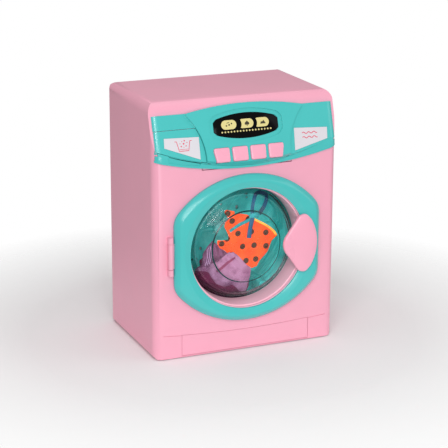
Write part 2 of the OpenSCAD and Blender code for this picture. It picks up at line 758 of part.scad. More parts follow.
module drum() color([0.12, 0.62, 0.6]) difference() {
    union() {
        difference() {
            about_y() polygon([[0, -drum_y1], [drum_r - 2, -drum_y1], [drum_r + 1.6, -drum_y1 + 3.4],
                [drum_r + 1.6, -drum_y0 - 1.6], [drum_r + 2, -drum_y0], [drum_r + 0.2, -drum_y0],
                [drum_r, -drum_y0 - 1], [drum_r, -drum_y1 + 4.2], [drum_r - 2.6, -drum_y1 + 1.8],
                [0, -drum_y1 + 1.8]]);
            // shallow rings round the wall
            for (i = [0:4]) about_y() translate([drum_r - 0.5, -drum_y0 - 6 - 7.5 * i]) square([1, 1.6]);
            // holes in the back wall
            for (i = [0:11]) y_rod(42 * cos(30 * i + 15), door_z + 42 * sin(30 * i + 15), 0, 20, 1.6);
            for (i = [0:7]) y_rod(27 * cos(45 * i), door_z + 27 * sin(45 * i), 0, 20, 1.6);
        }
        // lifters
        for (a = lifter_a) translate([0, 0, door_z]) rotate([0, -a, 0])
            translate([0, drum_y1 - 1, 0]) rotate([90, 0, 0]) linear_extrude(height = drum_len - 6)
                polygon([[drum_r + 0.4, -8], [drum_r - lifter_h + 1.2, -2.4], [drum_r - lifter_h, -1],
                    [drum_r - lifter_h, 1], [drum_r - lifter_h + 1.2, 2.4], [drum_r + 0.4, 8]]);
        // hub and raised star on the back wall
        y_rod(0, door_z, drum_y1 - 8, drum_y1 + 3.2, 7);
        for (i = [0:5]) translate([0, 0, door_z]) rotate([0, -60 * i, 0])
            box(6, drum_r - 4, drum_y1 - 3.4, drum_y1 - 1, -1.1, 1.1);
    }
    y_rod(0, door_z, drum_y1 - 6, drum_y1 + 4, shaft_r + 0.02);
}

module drum_shaft() color(steel) y_rod(0, door_z, drum_y1 - 5.8, 39.5, shaft_r);

// involute gear outline, a tooth centred on +x
function inv_pt(rb, t) = [rb * (cos(t) + t * PI / 180 * sin(t)), rb * (sin(t) - t * PI / 180 * cos(t))];
function rot2(p, a) = [p[0] * cos(a) - p[1] * sin(a), p[0] * sin(a) + p[1] * cos(a)];
function inv_ang(rb, r) = let (t = sqrt(r * r / (rb * rb) - 1) * 180 / PI) t - atan(t * PI / 180);

module gear2d(n, m, slack) {
    rp = n * m / 2;
    rb = rp * cos(20);
    ra = rp + m;
    rf = rp - 1.25 * m;
    r0 = max(rb, rf);
    half = 90 / n - slack / rp * 90 / PI + inv_ang(rb, rp);
    t0 = sqrt(r0 * r0 / (rb * rb) - 1) * 180 / PI;
    t1 = sqrt(ra * ra / (rb * rb) - 1) * 180 / PI;
    k = 4;
    polygon([for (i = [0:n - 1]) let (c = 360 / n * i) each concat(
        [rot2([rf, 0], c - 90 / n * 1.55)],
        [rot2([rf, 0], c - half)],
        [for (j = [0:k]) rot2(inv_pt(rb, t0 + (t1 - t0) * j / k), c - half)],
        [for (j = [k:-1:0]) let (p = inv_pt(rb, t0 + (t1 - t0) * j / k)) rot2([p[0], -p[1]], c + half)],
        [rot2([rf, 0], c + half)],
        [rot2([rf, 0], c + 90 / n * 1.55)])]);
}

// gear standing on the drum axis frame: centre (x, z), from y0 to y1, turned by a
module y_gear(x, z, y0, y1, n, m, a) translate([x, 0, door_z + z]) upright(y0, y1 - y0)
    rotate(a) gear2d(n, m, 0.07 * m + 0.05);

module drum_gear() color([0.93, 0.92, 0.88]) difference() {
    union() {
        y_gear(0, 0, gear_y[0], gear_y[1], n_drum, mod_a, mid_a);
        y_rod(0, door_z, gear_y[0] - 0.4, 33, 4.5);
    }
    y_rod(0, door_z, 10, 40, shaft_r + 0.02);
    for (i = [0:5]) y_rod(13.2 * cos(60 * i), door_z + 13.2 * sin(60 * i), 10, 40, 4.2);
    difference() {
        y_rod(0, door_z, 24.6, 30, 20.6);
        y_rod(0, door_z, 20, 33, 6.2);
    }
}

module shaft_bush() color([0.78, 0.62, 0.3]) difference() {
    union() {
        y_rod(0, door_z, 16.9, 19.9, 4.0);
        y_rod(0, door_z, 15.7, 16.9, 5.4);
    }
    y_rod(0, door_z, 10, 30, shaft_r + 0.06);
}

module mid_gear() color([0.95, 0.95, 0.97]) difference() {
    union() {
        y_gear(mid_x, mid_z, gear_y[0] - 0.4, stage_y[0] - 0.4, n_mid_small, mod_a,
            mid_a + 180 + 180 / n_mid_small);
        y_gear(mid_x, mid_z, stage_y[0], stage_y[1], n_mid_large, mod_b, pin_a);
        y_rod(mid_x, door_z + mid_z, stage_y[0] - 0.8, stage_y[1] + 1.8, 3.6);
    }
    y_rod(mid_x, door_z + mid_z, 15, 40, axle_r + 0.05);
}

module mid_axle() color(steel) y_rod(mid_x, door_z + mid_z, box_y[0] + 0.2, box_y[1] + 2.8, axle_r);

module motor_pinion() color([0.85, 0.72, 0.35]) difference() {
    y_gear(pin_x, pin_z, stage_y[0] - 0.3, stage_y[1] + 0.3, n_pinion, mod_b, pin_a + 180 + 180 / n_pinion);
    y_rod(pin_x, door_z + pin_z, 20, 40, motor_r + 0.01);
}

module motor_shaft() color(steel) y_rod(pin_x, door_z + pin_z, 27, 44, motor_r);

module motor() color([0.75, 0.76, 0.78]) difference() {
    union() {
        translate([pin_x, 0, door_z + pin_z]) upright(motor_y[0], motor_y[1] - motor_y[0]) intersection() {
            circle(r = 10.1);
            square([22, 15.2], center = true);
        }
        y_rod(pin_x, door_z + pin_z, motor_y[0] - 1.2, motor_y[0] + 0.2, 3.0);
        y_rod(pin_x, door_z + pin_z, motor_y[1] - 0.2, motor_y[1] + 1.2, 3.4);
        for (s = [-1, 1]) box(pin_x + s * 6 - 1.2, pin_x + s * 6 + 1.2, motor_y[1] - 0.2, motor_y[1] + 3,
            door_z + pin_z - 0.3, door_z + pin_z + 0.3);
    }
    y_rod(pin_x, door_z + pin_z, 30, 46, motor_r + 0.06);
}

gb_pts = [[-24, -22], [-24, 22], [18, -26]];

module gearbox2d(o) {
    circle(r = 28.5 - o);
    translate([mid_x, mid_z]) circle(r = 18 - o);
    translate([pin_x, pin_z]) circle(r = 12.5 - o);
    for (p = gb_pts) translate(p) circle(r = 5.5 - o);
}

module gearbox_front() color([0.88, 0.88, 0.9]) difference() {
    union() {
        translate([0, 0, door_z]) upright(box_y[0], box_t) gearbox2d(0);
        translate([0, 0, door_z]) upright(box_y[0], box_y[1] - box_y[0] - 0.2) difference() {
            gearbox2d(0);
            gearbox2d(box_t);
        }
        for (p = gb_pts) y_rod(p[0], door_z + p[1], box_y[0], box_y[1] - 0.2, 3.2);
        y_rod(mid_x, door_z + mid_z, box_y[0], box_y[0] + 2.8, 3.4);
    }
    y_rod(0, door_z, 10, 30, 4.02);
    y_rod(mid_x, door_z + mid_z, 10, 30, axle_r + 0.02);
    for (p = gb_pts) y_rod(p[0], door_z + p[1], 10, 40, 1.4);
}

module gearbox_cover() color([0.84, 0.84, 0.87]) difference() {
    union() {
        translate([0, 0, door_z]) upright(box_y[1], box_t) gearbox2d(0);
        y_rod(0, door_z, box_y[1] - 1, box_y[1] + 3, 4.4);
        y_rod(mid_x, door_z + mid_z, box_y[1] - 1, box_y[1] + 2.6, 3.4);
    }
    y_rod(0, door_z, 30, 45, shaft_r + 0.06);
    y_rod(mid_x, door_z + mid_z, 30, 45, axle_r + 0.02);
    y_rod(pin_x, door_z + pin_z, 30, 45, 3.1);
    for (p = gb_pts) y_rod(p[0], door_z + p[1], 30, 45, 1.4);
}

module gearbox_screws() color(steel) for (p = gb_pts) difference() {
    union() {
        y_rod(p[0], door_z + p[1], box_y[0] - 2, 48, 1.2);
        y_rod(p[0], door_z + p[1], box_y[0] - 2, box_y[0] - 0.2, 2.6);
    }
    cross_y(p[0], box_y[0] - 2, door_z + p[1], 3.4, 0.6, 1.4);
}

// ---------- electrics ----------

module speaker() color([0.2, 0.2, 0.22]) translate([sp_x, yb - wall - 0.3, sp_z]) rotate([90, 0, 0])
    rotate_extrude() polygon([[0, 1.6], [4, 1.2], [6, 2.2], [14.6, 0.9], [16, 0.4], [16, 0], [18, 0],
        [18, 1.6], [10, 4.2], [8.6, 4.2], [8.6, 8.4], [0, 8.4]]);

module battery_box() color([0.3, 0.3, 0.32]) difference() {
    box(-bay_w, bay_w, 47.6, 66.2, bay_z[0], bay_z[1]);
    box(-bay_w + 1.6, bay_w - 1.6, 49.2, 67, bay_z[0] + 1.6, bay_z[1] - 1.6);
    box(-20, 20, 47, 50, 34, 38);
}

module battery_contacts() color(steel) for (i = [0:2]) {
    box(-28.7, -28.3, 51, 64, bat_z[i] - 5.5, bat_z[i] + 5.5);
    box(28.3, 28.7, 51, 64, bat_z[i] - 5.5, bat_z[i] + 5.5);
    // coil drawn as three rings
    s = i == 1 ? -1 : 1;
    for (k = [0:2]) translate([s * (27.6 - 0.75 * k), cell_y, bat_z[i]]) rotate([0, 90, 0])
        rotate_extrude($fn = 40) translate([4.2 - 0.7 * k, 0]) circle(r = 0.38, $fn = 16);
}

module batteries() color([0.2, 0.2, 0.6]) for (i = [0:2]) {
    s = i == 1 ? -1 : 1;
    translate([s * 25.5, cell_y, bat_z[i]]) rotate([0, -s * 90, 0]) {
        cylinder(r = cell_r, h = cell_l);
        translate([0, 0, cell_l - 0.6]) cylinder(r = 2.7, h = 1.8);
    }
}

module battery_cover() color(pink) difference() {
    union() {
        box(-bay_w - 0.5, bay_w + 0.5, yb - wall, yb, bay_z[0] - 0.5, bay_z[1] + 0.5);
        for (i = [0:4]) box(-12, 12, yb - 0.5, yb - 0.1, 50 + 2 * i, 50.8 + 2 * i);
        for (x = [-20, 20]) box(x - 4, x + 4, yb - wall - 1.4, yb - wall + 0.5, 12.4, 14);
    }
    for (i = [0:5]) box(-10, 10, yb - 0.7, yb + 1, 46 + 2 * i, 46.9 + 2 * i);
    y_rod(0, cover_z, yb - 5, yb + 1, 1.6);
    y_rod(0, cover_z, yb - 1.2, yb + 1, 3);
}

module cover_screw() color(steel) difference() {
    union() {
        y_rod(0, cover_z, yb - 2.6, yb - 1.2, 1.4);
        y_rod(0, cover_z, yb - 1.2, yb - 0.2, 2.7);
    }
    cross_y(0, yb - 0.2, cover_z, 3.6, 0.6, 1.2);
}

module switch_body() color([0.7, 0.7, 0.72]) difference() {
    box(switch_x - 7, switch_x + 7, 59.6, 66.4, switch_z - 3.4, switch_z + 3.4);
    box(switch_x - 5.1, switch_x + 5.1, 63.0, 67, switch_z - 1.6, switch_z + 1.6);
}

module switch_knob() color(dark) {
    box(switch_x - 4.7, switch_x + 0.7, 63.3, 66.2, switch_z - 1.2, switch_z + 1.2);
    box(switch_x - 3.5, switch_x - 0.5, 66.1, 68.6, switch_z - 1.2, switch_z + 1.2);
}

// ---------- laundry ----------

module dress() color([1.0, 0.42, 0.05]) intersection() {
    translate([0, 0, door_z]) upright(-52.8, 7.5) polygon([[-26, 20], [-21, 27], [-16, 22], [-2, 25], [8, 21],
        [29, 9], [25, 3], [17, -3], [9, -24], [4, -27], [-8, -14], [-16, -8], [-25, -6], [-28, 2], [-24, 6]]);
    about_y() polygon([[0, 53], [32.6, 53], [38, 50.8], [46, 44], [46, 20], [0, 20]]);
}

module dress_ribbon() color([0.03, 0.4, 0.65]) translate([0, 0, door_z]) {
    upright(-53.9, 1) polygon([[-1, 20], [4, 21], [5, 25], [0, 26]]);
    upright(-53.7, 0.7) polygon([[0, 20.5], [2.6, 21], [-1, 5], [-5, 5]]);
    upright(-53.7, 0.7) polygon([[-0.5, 21.6], [-1.4, 24], [-20, 12.6], [-18.6, 9.4]]);
}

module skirt() color([0.55, 0.3, 0.5]) intersection() {
    translate([0, 0, door_z]) upright(-44.6, 22) polygon([[-51, -14], [-44, -2], [-36, 4], [-30, 2],
        [-22, -8], [-10, -16], [3, -28], [6, -36], [2, -52], [-20, -60], [-46, -40]]);
    about_y() polygon([[0, 50], [38, 49.5], [45, 45.5], [50.4, 40], [50.6, 37], [57.6, 34], [57.6, 18],
        [0, 18]]);
}

// ---------- choice of node ----------

front_shell();
rear_shell();
kick_panel();
feet();
case_screws();
control_panel();
panel_screws();
display_lens();
display_icons();
panel_label();
circuit_board();
status_leds();
key_pad();
key_1();
key_2();
key_3();
key_4();
drawer_front();
drawer_tray();
drawer_label();
drawer_guide();
door_ring();
door_liner();
door_window();
door_screws();
hinge_pin();
latch_catch();
drum();
drum_shaft();
drum_gear();
shaft_bush();
mid_gear();
mid_axle();
motor_pinion();
motor_shaft();
motor();
gearbox_front();
gearbox_cover();
gearbox_screws();
speaker();
battery_box();
battery_contacts();
batteries();
battery_cover();
cover_screw();
switch_body();
switch_knob();
dress();
dress_ribbon();
skirt();
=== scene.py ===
"""Looks of a toy washing machine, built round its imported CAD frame.

Sizes are millimetres and become metres through MM. X runs to the right, Y to
the back and Z up, with the origin under the middle of the machine.
"""

import logging
import math
from collections.abc import Callable, Iterator, Sequence
from dataclasses import dataclass
from enum import Enum, IntEnum
from typing import Protocol

import bmesh
import bpy
from mathutils import Matrix, Vector
from mathutils import noise as soft_noise


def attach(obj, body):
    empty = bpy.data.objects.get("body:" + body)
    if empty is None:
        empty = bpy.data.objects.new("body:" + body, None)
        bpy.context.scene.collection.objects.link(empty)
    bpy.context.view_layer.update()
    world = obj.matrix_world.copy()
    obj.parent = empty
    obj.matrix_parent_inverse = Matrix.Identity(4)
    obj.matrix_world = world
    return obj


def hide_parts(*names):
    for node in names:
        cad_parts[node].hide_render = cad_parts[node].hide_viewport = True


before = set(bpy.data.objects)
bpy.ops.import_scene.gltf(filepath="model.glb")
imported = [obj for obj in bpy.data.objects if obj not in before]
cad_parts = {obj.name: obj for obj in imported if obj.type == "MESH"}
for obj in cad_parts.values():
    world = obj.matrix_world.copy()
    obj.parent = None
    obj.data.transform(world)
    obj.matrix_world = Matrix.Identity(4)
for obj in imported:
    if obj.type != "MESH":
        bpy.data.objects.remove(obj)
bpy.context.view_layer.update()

MM = 0.001
LOG = logging.getLogger("toy_washer")

PANEL_FOOT = Vector((0.0, -62.5, 184.0))  # origin of the sloping control panel
PANEL_TILT = math.radians(17.0)
MACHINE_MIDDLE = Vector((2.452, 3.0, 107.801))  # where the camera and the lamps aim
DOOR_Z = 102.3  # height of the door and drum axis
CABINET_FRONT = -57.0
DOOR_BACK = CABINET_FRONT - 0.5
BUILT = 0.0005  # vertices nearer than this are one, in a piece built here
NEARLY_STRAIGHT = 1.5  # half angle of a corner, in radians, from which no arc is drawn

WAVE_PERIOD = 0.31  # spacing of a wave texture's bands at a scale of 1
GLOSS_SWING = 0.06  # how far melt flow moves a moulded skin's roughness to each side
SHADE_SWING = 0.03  # and its brightness
SKIN_BUMP_MM = 0.1  # height of the bump of a moulded or turned skin

# how far a spot moves across and up for each millimetre that it goes deeper, so that it
# keeps its place as seen through the window from the camera
SIGHT_ACROSS = 0.428
SIGHT_UP = -0.324

# far on the left the cloth lies behind the liner's band: the band's depth (Y) at its back,
# that place's X, and how many millimetres the cloth goes back for each one further left
LINER_DEPTH = -37.2
LINER_LEFT = -44.0
LINER_SLOPE = 3.5

CLOTH_SMOOTH = 80.0  # edges of cloth sharper than this many degrees stay hard
TURNED_EDGES = 2.0  # cloth that the turned edges of a cut take up


# ---------------------------------------------------------------- materials


def linear(hex_colour: str) -> tuple[float, float, float, float]:
    """Turns an sRGB hex colour into the linear RGBA that the shaders take.

    Args:
        hex_colour: Six hex digits with a leading hash.

    Returns:
        Linear red, green and blue with an alpha of one.
    """
    raw = [int(hex_colour[i : i + 2], 16) / 255 for i in (1, 3, 5)]
    rgb = [c / 12.92 if c <= 0.04045 else ((c + 0.055) / 1.055) ** 2.4 for c in raw]
    return rgb[0], rgb[1], rgb[2], 1.0


def feed(node: bpy.types.Node, inputs: dict[str | int, object]) -> None:
    """Sets inputs of a node, or joins them to the nodes before it.

    Args:
        node: The node.
        inputs: Values or output sockets by input name or index.
    """
    for key, value in inputs.items():
        if isinstance(value, bpy.types.NodeSocket):
            node.id_data.links.new(value, node.inputs[key])
        else:
            node.inputs[key].default_value = value


def add_node(
    tree: bpy.types.NodeTree,
    kind: str,
    inputs: dict[str | int, object] | None = None,
    **settings: object,
) -> bpy.types.Node:
    """Adds a shader node, sets it up and joins it to the nodes before it.

    Args:
        tree: Node tree that takes the node.
        kind: Type name of the node.
        inputs: Values or output sockets by input name or index.
        **settings: Attributes of the node itself.

    Returns:
        The new node.
    """
    node = tree.nodes.new(kind)
    for name, value in settings.items():
        setattr(node, name, value)
    feed(node, inputs or {})
    return node


def ramp_stops(node: bpy.types.Node, stops: Sequence[tuple[float, str]]) -> None:
    """Gives a colour ramp its stops.

    Args:
        node: The colour ramp.
        stops: Position and hex colour of each stop, two at least.
    """
    elements = node.color_ramp.elements
    while len(elements) < len(stops):
        elements.new(0.5)
    for element, (place, colour) in zip(elements, stops):
        element.position = place
        element.color = linear(colour)


def new_material(name: str) -> tuple[bpy.types.Material, bpy.types.Node, bpy.types.NodeSocket]:
    """Starts a material with its shader and the object's own coordinates.

    Args:
        name: Name of the material.

    Returns:
        The material, its Principled shader and the coordinate socket, in metres.
    """
    material = bpy.data.materials.new(name)
    material.use_nodes = True
    tree = material.node_tree
    tree.nodes.clear()
    shader = add_node(tree, "ShaderNodeBsdfPrincipled")
    add_node(tree, "ShaderNodeOutputMaterial", {"Surface": shader.outputs[0]})
    coordinates = add_node(tree, "ShaderNodeTexCoord")
    return material, shader, coordinates.outputs["Object"]


class Finish(Protocol):
    """Anything that has a name and builds a material.

    Attributes:
        name: Material name.
    """

    name: str

    def build(self) -> bpy.types.Material:
        """Builds the material."""


@dataclass(frozen=True)
class MouldedPlastic:
    """Injection-moulded plastic: an even colour, soft gloss and a fine spark-eroded grain.

    Attributes:
        name: Material name.
        colour: Body colour in sRGB hex.
        roughness: Middle of the gloss range.
        grain_mm: Size of the tool's grain.
        grain_depth: Strength of the bump that the grain gives.
        coat: Extra gloss of a polished tool.
        flow_mm: Size of the slow waves that melt flow leaves in the colour.
        ior: Refractive index, which sets how strongly the skin mirrors.
    """

    name: str
    colour: str
    roughness: float = 0.34
    grain_mm: float = 0.9
    grain_depth: float = 0.03
    coat: float = 0.0
    flow_mm: float = 26.0
    ior: float = 1.5

    def build(self) -> bpy.types.Material:
        """Builds the material.

        Returns:
            The material.
        """
        material, shader, where = new_material(self.name)
        tree = material.node_tree
        # slow drift of the gloss and colour, as melt flow leaves it
        flow = add_node(
            tree,
            "ShaderNodeTexNoise",
            {"Vector": where, "Scale": 1 / (self.flow_mm * MM), "Detail": 2.0},
        ).outputs[0]
        # the grain of the mould itself, drawn coarse enough to catch the light
        grain = add_node(
            tree,
            "ShaderNodeTexNoise",
            {"Vector": where, "Scale": 1 / (self.grain_mm * MM), "Detail": 3.0},
        ).outputs[0]
        gloss, shade = (
            add_node(
                tree,
                "ShaderNodeMapRange",
                {"Value": flow, "To Min": middle - swing, "To Max": middle + swing},
            )
            for middle, swing in ((self.roughness, GLOSS_SWING), (1.0, SHADE_SWING))
        )
        tint = add_node(
            tree,
            "ShaderNodeHueSaturation",
            {"Color": linear(self.colour), "Value": shade.outputs[0]},
        )
        bump = add_node(
            tree,
            "ShaderNodeBump",
            {"Height": grain, "Strength": self.grain_depth, "Distance": SKIN_BUMP_MM * MM},
        )
        look = {
            "Base Color": tint.outputs[0],
            "Roughness": gloss.outputs[0],
            "Normal": bump.outputs[0],
            "IOR": self.ior,
            "Coat Weight": self.coat,
            "Coat Roughness": 0.08,
        }
        feed(shader, look)
        return material


@dataclass(frozen=True)
class DrumPlastic:
    """Glossy moulded plastic with tool rings round the drum, its colour painted with streaks of
    light and shade.

    Attributes:
        name: Material name.
        colour: Body colour in sRGB hex, the light end of the painted streaks.
        shade: Painted shade, the dark end of the painted streaks.
        ring_mm: Spacing of the rings along the drum.
        painted_streak_mm: Size of the painted streaks of light and shade.
    """

    name: str
    colour: str
    shade: str
    ring_mm: float = 2.6
    painted_streak_mm: float = 30.0

    def build(self) -> bpy.types.Material:
        """Builds the material.

        Returns:
            The material.
        """
        material, shader, where = new_material(self.name)
        tree = material.node_tree
        # fine rings at right angles to the drum's axis, bent a little by the cooling
        rings = add_node(
            tree,
            "ShaderNodeTexWave",
            {
                "Vector": where,
                "Scale": WAVE_PERIOD / (self.ring_mm * MM),
                "Distortion": 0.6,
                "Detail": 2.0,
            },
            bands_direction="Y",
        )
        # painted streaks of light and shade, drawn out along the drum
        drawn = add_node(tree, "ShaderNodeMapping", {"Vector": where, "Scale": (1.0, 6.0, 1.0)})
        painted_streaks = add_node(
            tree,
            "ShaderNodeTexNoise",
            {
                "Vector": drawn.outputs[0],
                "Scale": 1 / (self.painted_streak_mm * MM),
                "Detail": 4.0,
                "Roughness": 0.6,
            },
        )
        colour = add_node(tree, "ShaderNodeValToRGB", {"Fac": painted_streaks.outputs[0]})
        ramp_stops(colour, [(0.35, self.shade), (0.62, self.colour)])
        bump = add_node(
            tree,
            "ShaderNodeBump",
            {"Height": rings.outputs[0], "Strength": 0.35, "Distance": 0.3 * MM},
        )
        look = {
            "Base Color": colour.outputs[0],
            "Normal": bump.outputs[0],
            "Roughness": 0.22,
            "IOR": 1.5,
            "Coat Weight": 0.3,
            "Coat Roughness": 0.06,
        }
        feed(shader, look)
        return material


@dataclass(frozen=True)
class ClearPlastic:
    """Polished clear polystyrene: it bends the view a little and shows the lamps.

    Attributes:
        name: Material name.
        colour: Tint of the wall.
        roughness: Gloss of the polished tool.
        gloss: Weight of the polished skin that mirrors the lamps.
        wave_mm: Size of the shallow waves in it.
    """

    name: str
    colour: str = "#F6FDFC"
    roughness: float = 0.03
    gloss: float = 0.2
    wave_mm: float = 14.0

    def build(self) -> bpy.types.Material:
        """Builds the material.

        Returns:
            The material.
        """
        material, shader, where = new_material(self.name)
        tree = material.node_tree
        # shallow flow waves that only the highlights show
        waves = add_node(
            tree,
            "ShaderNodeTexNoise",
            {"Vector": where, "Scale": 1 / (self.wave_mm * MM), "Detail": 1.5},
        )
        bump = add_node(
            tree,
            "ShaderNodeBump",
            {"Height": waves.outputs[0], "Strength": 0.1, "Distance": 0.4 * MM},
        )
        # a thin wall shifts the view less than a solid one, so its index is low and the coat
        # carries the real gloss
        look = {
            "Normal": bump.outputs[0],
            "Base Color": linear(self.colour),
            "Roughness": self.roughness,
            "IOR": 1.18,
            "Transmission Weight": 1.0,
            "Coat Weight": self.gloss,
            "Coat Roughness": 0.04,
        }
        feed(shader, look)
        return material


@dataclass(frozen=True)
class Metal:
    """Turned or rolled metal: fine lines of the tool along one axis.

    Attributes:
        name: Material name.
        colour: Reflected colour.
        roughness: Middle of the gloss range.
        line_mm: Width of the tool lines.
    """

    name: str
    colour: str
    roughness: float = 0.3
    line_mm: float = 0.25

    def build(self) -> bpy.types.Material:
        """Builds the material.

        Returns:
            The material.
        """
        material, shader, where = new_material(self.name)
        tree = material.node_tree
        stretch = add_node(tree, "ShaderNodeMapping", {"Vector": where, "Scale": (1.0, 0.1, 1.0)})
        lines = add_node(
            tree,
            "ShaderNodeTexNoise",
            {"Vector": stretch.outputs[0], "Scale": 1 / (self.line_mm * MM), "Detail": 2.0},
        )
        gloss = add_node(
            tree,
            "ShaderNodeMapRange",
            {
                "Value": lines.outputs[0],
                "To Min": self.roughness - 0.1,
                "To Max": self.roughness + 0.12,
            },
        )
        bump = add_node(
            tree,
            "ShaderNodeBump",
            {"Height": lines.outputs[0], "Strength": 0.08, "Distance": SKIN_BUMP_MM * MM},
        )
        look = {
            "Roughness": gloss.outputs[0],
            "Normal": bump.outputs[0],
            "Base Color": linear(self.colour),
            "Metallic": 1.0,
        }
        feed(shader, look)
        return material


@dataclass(frozen=True)
class Cloth:
    """Woven cloth with its threads, sheen and, where it has them, printed dots.

    Attributes:
        name: Material name.
        colour: Colour of the cloth.
        shade: Painted shade, the dark end of random patches.
        thread_mm: Spacing of the threads.
        roughness: Roughness of the fibres.
        sheen: Weight of the soft rim of light that loose fibres give.
        sheen_tint: Colour of that rim.
        cover: Share of the view that the cloth stops, 1 for a dense one.
        dot: Colour of the printed dots, or empty for none.
        dot_spots: Middles of the dots on the cloth, in millimetres.
        dot_mm: Radius of a dot.
        glint: Colour of the pale creases where the layers catch the light, or empty for none.
        shade_patch_mm: Size of the random patches of painted shade.
        crease_mm: Size of the pale creases.
    """

    name: str
    colour: str
    shade: str
    thread_mm: float = 0.7
    roughness: float = 0.8
    sheen: float = 0.3
    sheen_tint: str = "#FFFFFF"
    cover: float = 1.0
    dot: str = ""
    dot_spots: tuple[tuple[float, float], ...] = ()
    dot_mm: float = 2.9
    glint: str = ""
    shade_patch_mm: float = 9.0
    crease_mm: float = 11.0

    def threads(
        self, tree: bpy.types.NodeTree, where: bpy.types.NodeSocket
    ) -> bpy.types.NodeSocket:
        """Draws warp and weft as two crossed waves.

        Args:
            tree: Node tree of the material.
            where: UV coordinates, one unit to the millimetre.

        Returns:
            Height of the threads.
        """
        # real threads stand about 0.25 mm apart, drawn coarser so that they show
        pair = [
            add_node(
                tree,
                "ShaderNodeTexWave",
                {
                    "Vector": where,
                    "Scale": WAVE_PERIOD / self.thread_mm,
                    "Distortion": 0.8,
                    "Detail": 1.0,
                },
                bands_direction=way,
            )
            for way in ("X", "Y")
        ]
        both = {0: pair[0].outputs[1], 1: pair[1].outputs[1]}
        return add_node(tree, "ShaderNodeMath", both, operation="MAXIMUM").outputs[0]

    def dots(self, tree: bpy.types.NodeTree, where: bpy.types.NodeSocket) -> bpy.types.NodeSocket:
        """Draws a mask of the printed dots.

        Args:
            tree: Node tree of the material.
            where: UV coordinates, one unit to the millimetre.

        Returns:
            1 in a dot and 0 outside.
        """
        nearest = None
        for across, up in self.dot_spots:
            ends = {0: where, 1: (across, up, 0.0)}
            away = add_node(tree, "ShaderNodeVectorMath", ends, operation="DISTANCE")
            away = away.outputs["Value"]
            if nearest:
                pair = {0: nearest, 1: away}
                away = add_node(tree, "ShaderNodeMath", pair, operation="MINIMUM").outputs[0]
            nearest = away
        bleed = 0.3  # the ink fades over this many millimetres to each side
        edge = {
            "Value": nearest,
            "From Min": self.dot_mm - bleed,
            "From Max": self.dot_mm + bleed,
            "To Min": 1.0,
            "To Max": 0.0,
        }
        return add_node(tree, "ShaderNodeMapRange", edge).outputs[0]

    def build(self) -> bpy.types.Material:
        """Builds the material.

        Returns:
            The material.
        """
        material, shader, where = new_material(self.name)
        tree = material.node_tree
        uv = add_node(tree, "ShaderNodeUVMap", uv_map="cut_mm").outputs[0]
        height = self.threads(tree, uv)
        # random patches of painted shade
        shade_patches = add_node(
            tree,
            "ShaderNodeTexNoise",
            {"Vector": where, "Scale": 1 / (self.shade_patch_mm * MM), "Detail": 3.0},
        )
        colour = add_node(tree, "ShaderNodeValToRGB", {"Fac": shade_patches.outputs[0]})
        ramp_stops(colour, [(0.3, self.shade), (0.58, self.colour)])
        top = colour.outputs[0]
        layers = []
        if self.dot:
            layers.append((self.dots(tree, uv), self.dot))
        if self.glint:
            # ridges of a slow noise, as crumpled gauze shows pale lines along its creases
            ridge = add_node(
                tree,
                "ShaderNodeTexNoise",
                {
                    "Vector": where,
                    "Scale": 1 / (self.crease_mm * MM),
                    "Detail": 4.0,
                    "Distortion": 0.8,
                },
                noise_type="RIDGED_MULTIFRACTAL",
            )
            reach = {"Value": ridge.outputs[0], "From Min": 0.95, "From Max": 1.6}
            line = add_node(tree, "ShaderNodeMapRange", reach)
            layers.append((line.outputs[0], self.glint))
        for mask, over in layers:
            blend = {"Factor": mask, "A": top, "B": linear(over)}
            top = add_node(tree, "ShaderNodeMix", blend, data_type="RGBA").outputs["Result"]
        bump = add_node(
            tree, "ShaderNodeBump", {"Height": height, "Strength": 0.3, "Distance": 0.15 * MM}
        )
        look = {
            "Base Color": top,
            "Normal": bump.outputs[0],
            "Roughness": self.roughness,
            "Sheen Weight": self.sheen,
            "Sheen Roughness": 0.4,
            "Sheen Tint": linear(self.sheen_tint),
        }
        if self.cover < 1.0:
            # gaps between the threads let the view through, fewer where it is seen edge on
            edge = add_node(tree, "ShaderNodeLayerWeight", {"Blend": 0.45})
            reach = {"Value": edge.outputs["Facing"], "To Min": self.cover, "To Max": 1.0}
            look["Alpha"] = add_node(tree, "ShaderNodeMapRange", reach).outputs[0]
        feed(shader, look)
        return material


BODY_PINK = MouldedPlastic("moulded_abs_pink", "#F5ABC1", 0.36)
KEY_PINK = MouldedPlastic("moulded_abs_bright_pink", "#F9ACC3", 0.28, coat=0.2)
TRIM_TEAL = MouldedPlastic("moulded_abs_teal", "#49C3C0", 0.22, coat=0.25)
# the drum's teal is painted far lighter than the moulding, as painted light for the dim drum, and
# its two colours paint streaks of light and shade
DRUM_TEAL_PAINTED_LIGHT = DrumPlastic("moulded_pp_drum_teal_painted_light", "#6CF0EC", "#2EBCBA")
WINDOW_CLEAR = ClearPlastic("moulded_clear_polystyrene")
# opaque dark ring on the disc's step: a painted dark line of shade, where the clear step is seen
# edge on
WINDOW_STEP_SHADE = MouldedPlastic("polystyrene_step_painted_shade", "#0F3E40", 0.12, grain_depth=0.0)
# the flank's cyan tint is a painted reflection of the teal round it
WINDOW_FLANK_REFLECTION = ClearPlastic("clear_polystyrene_flank_painted_reflection", "#DAF0F0", gloss=0.05)
# grey tint of the flank's root is painted shade, for the dark band inside the ring
WINDOW_ROOT_SHADE = ClearPlastic("clear_polystyrene_root_painted_shade", "#8A9C9C", 0.08, 0.1)
WINDOW_RIM = ClearPlastic("clear_polystyrene_polished_rim", "#E4F6F8", 0.1, 1.0)
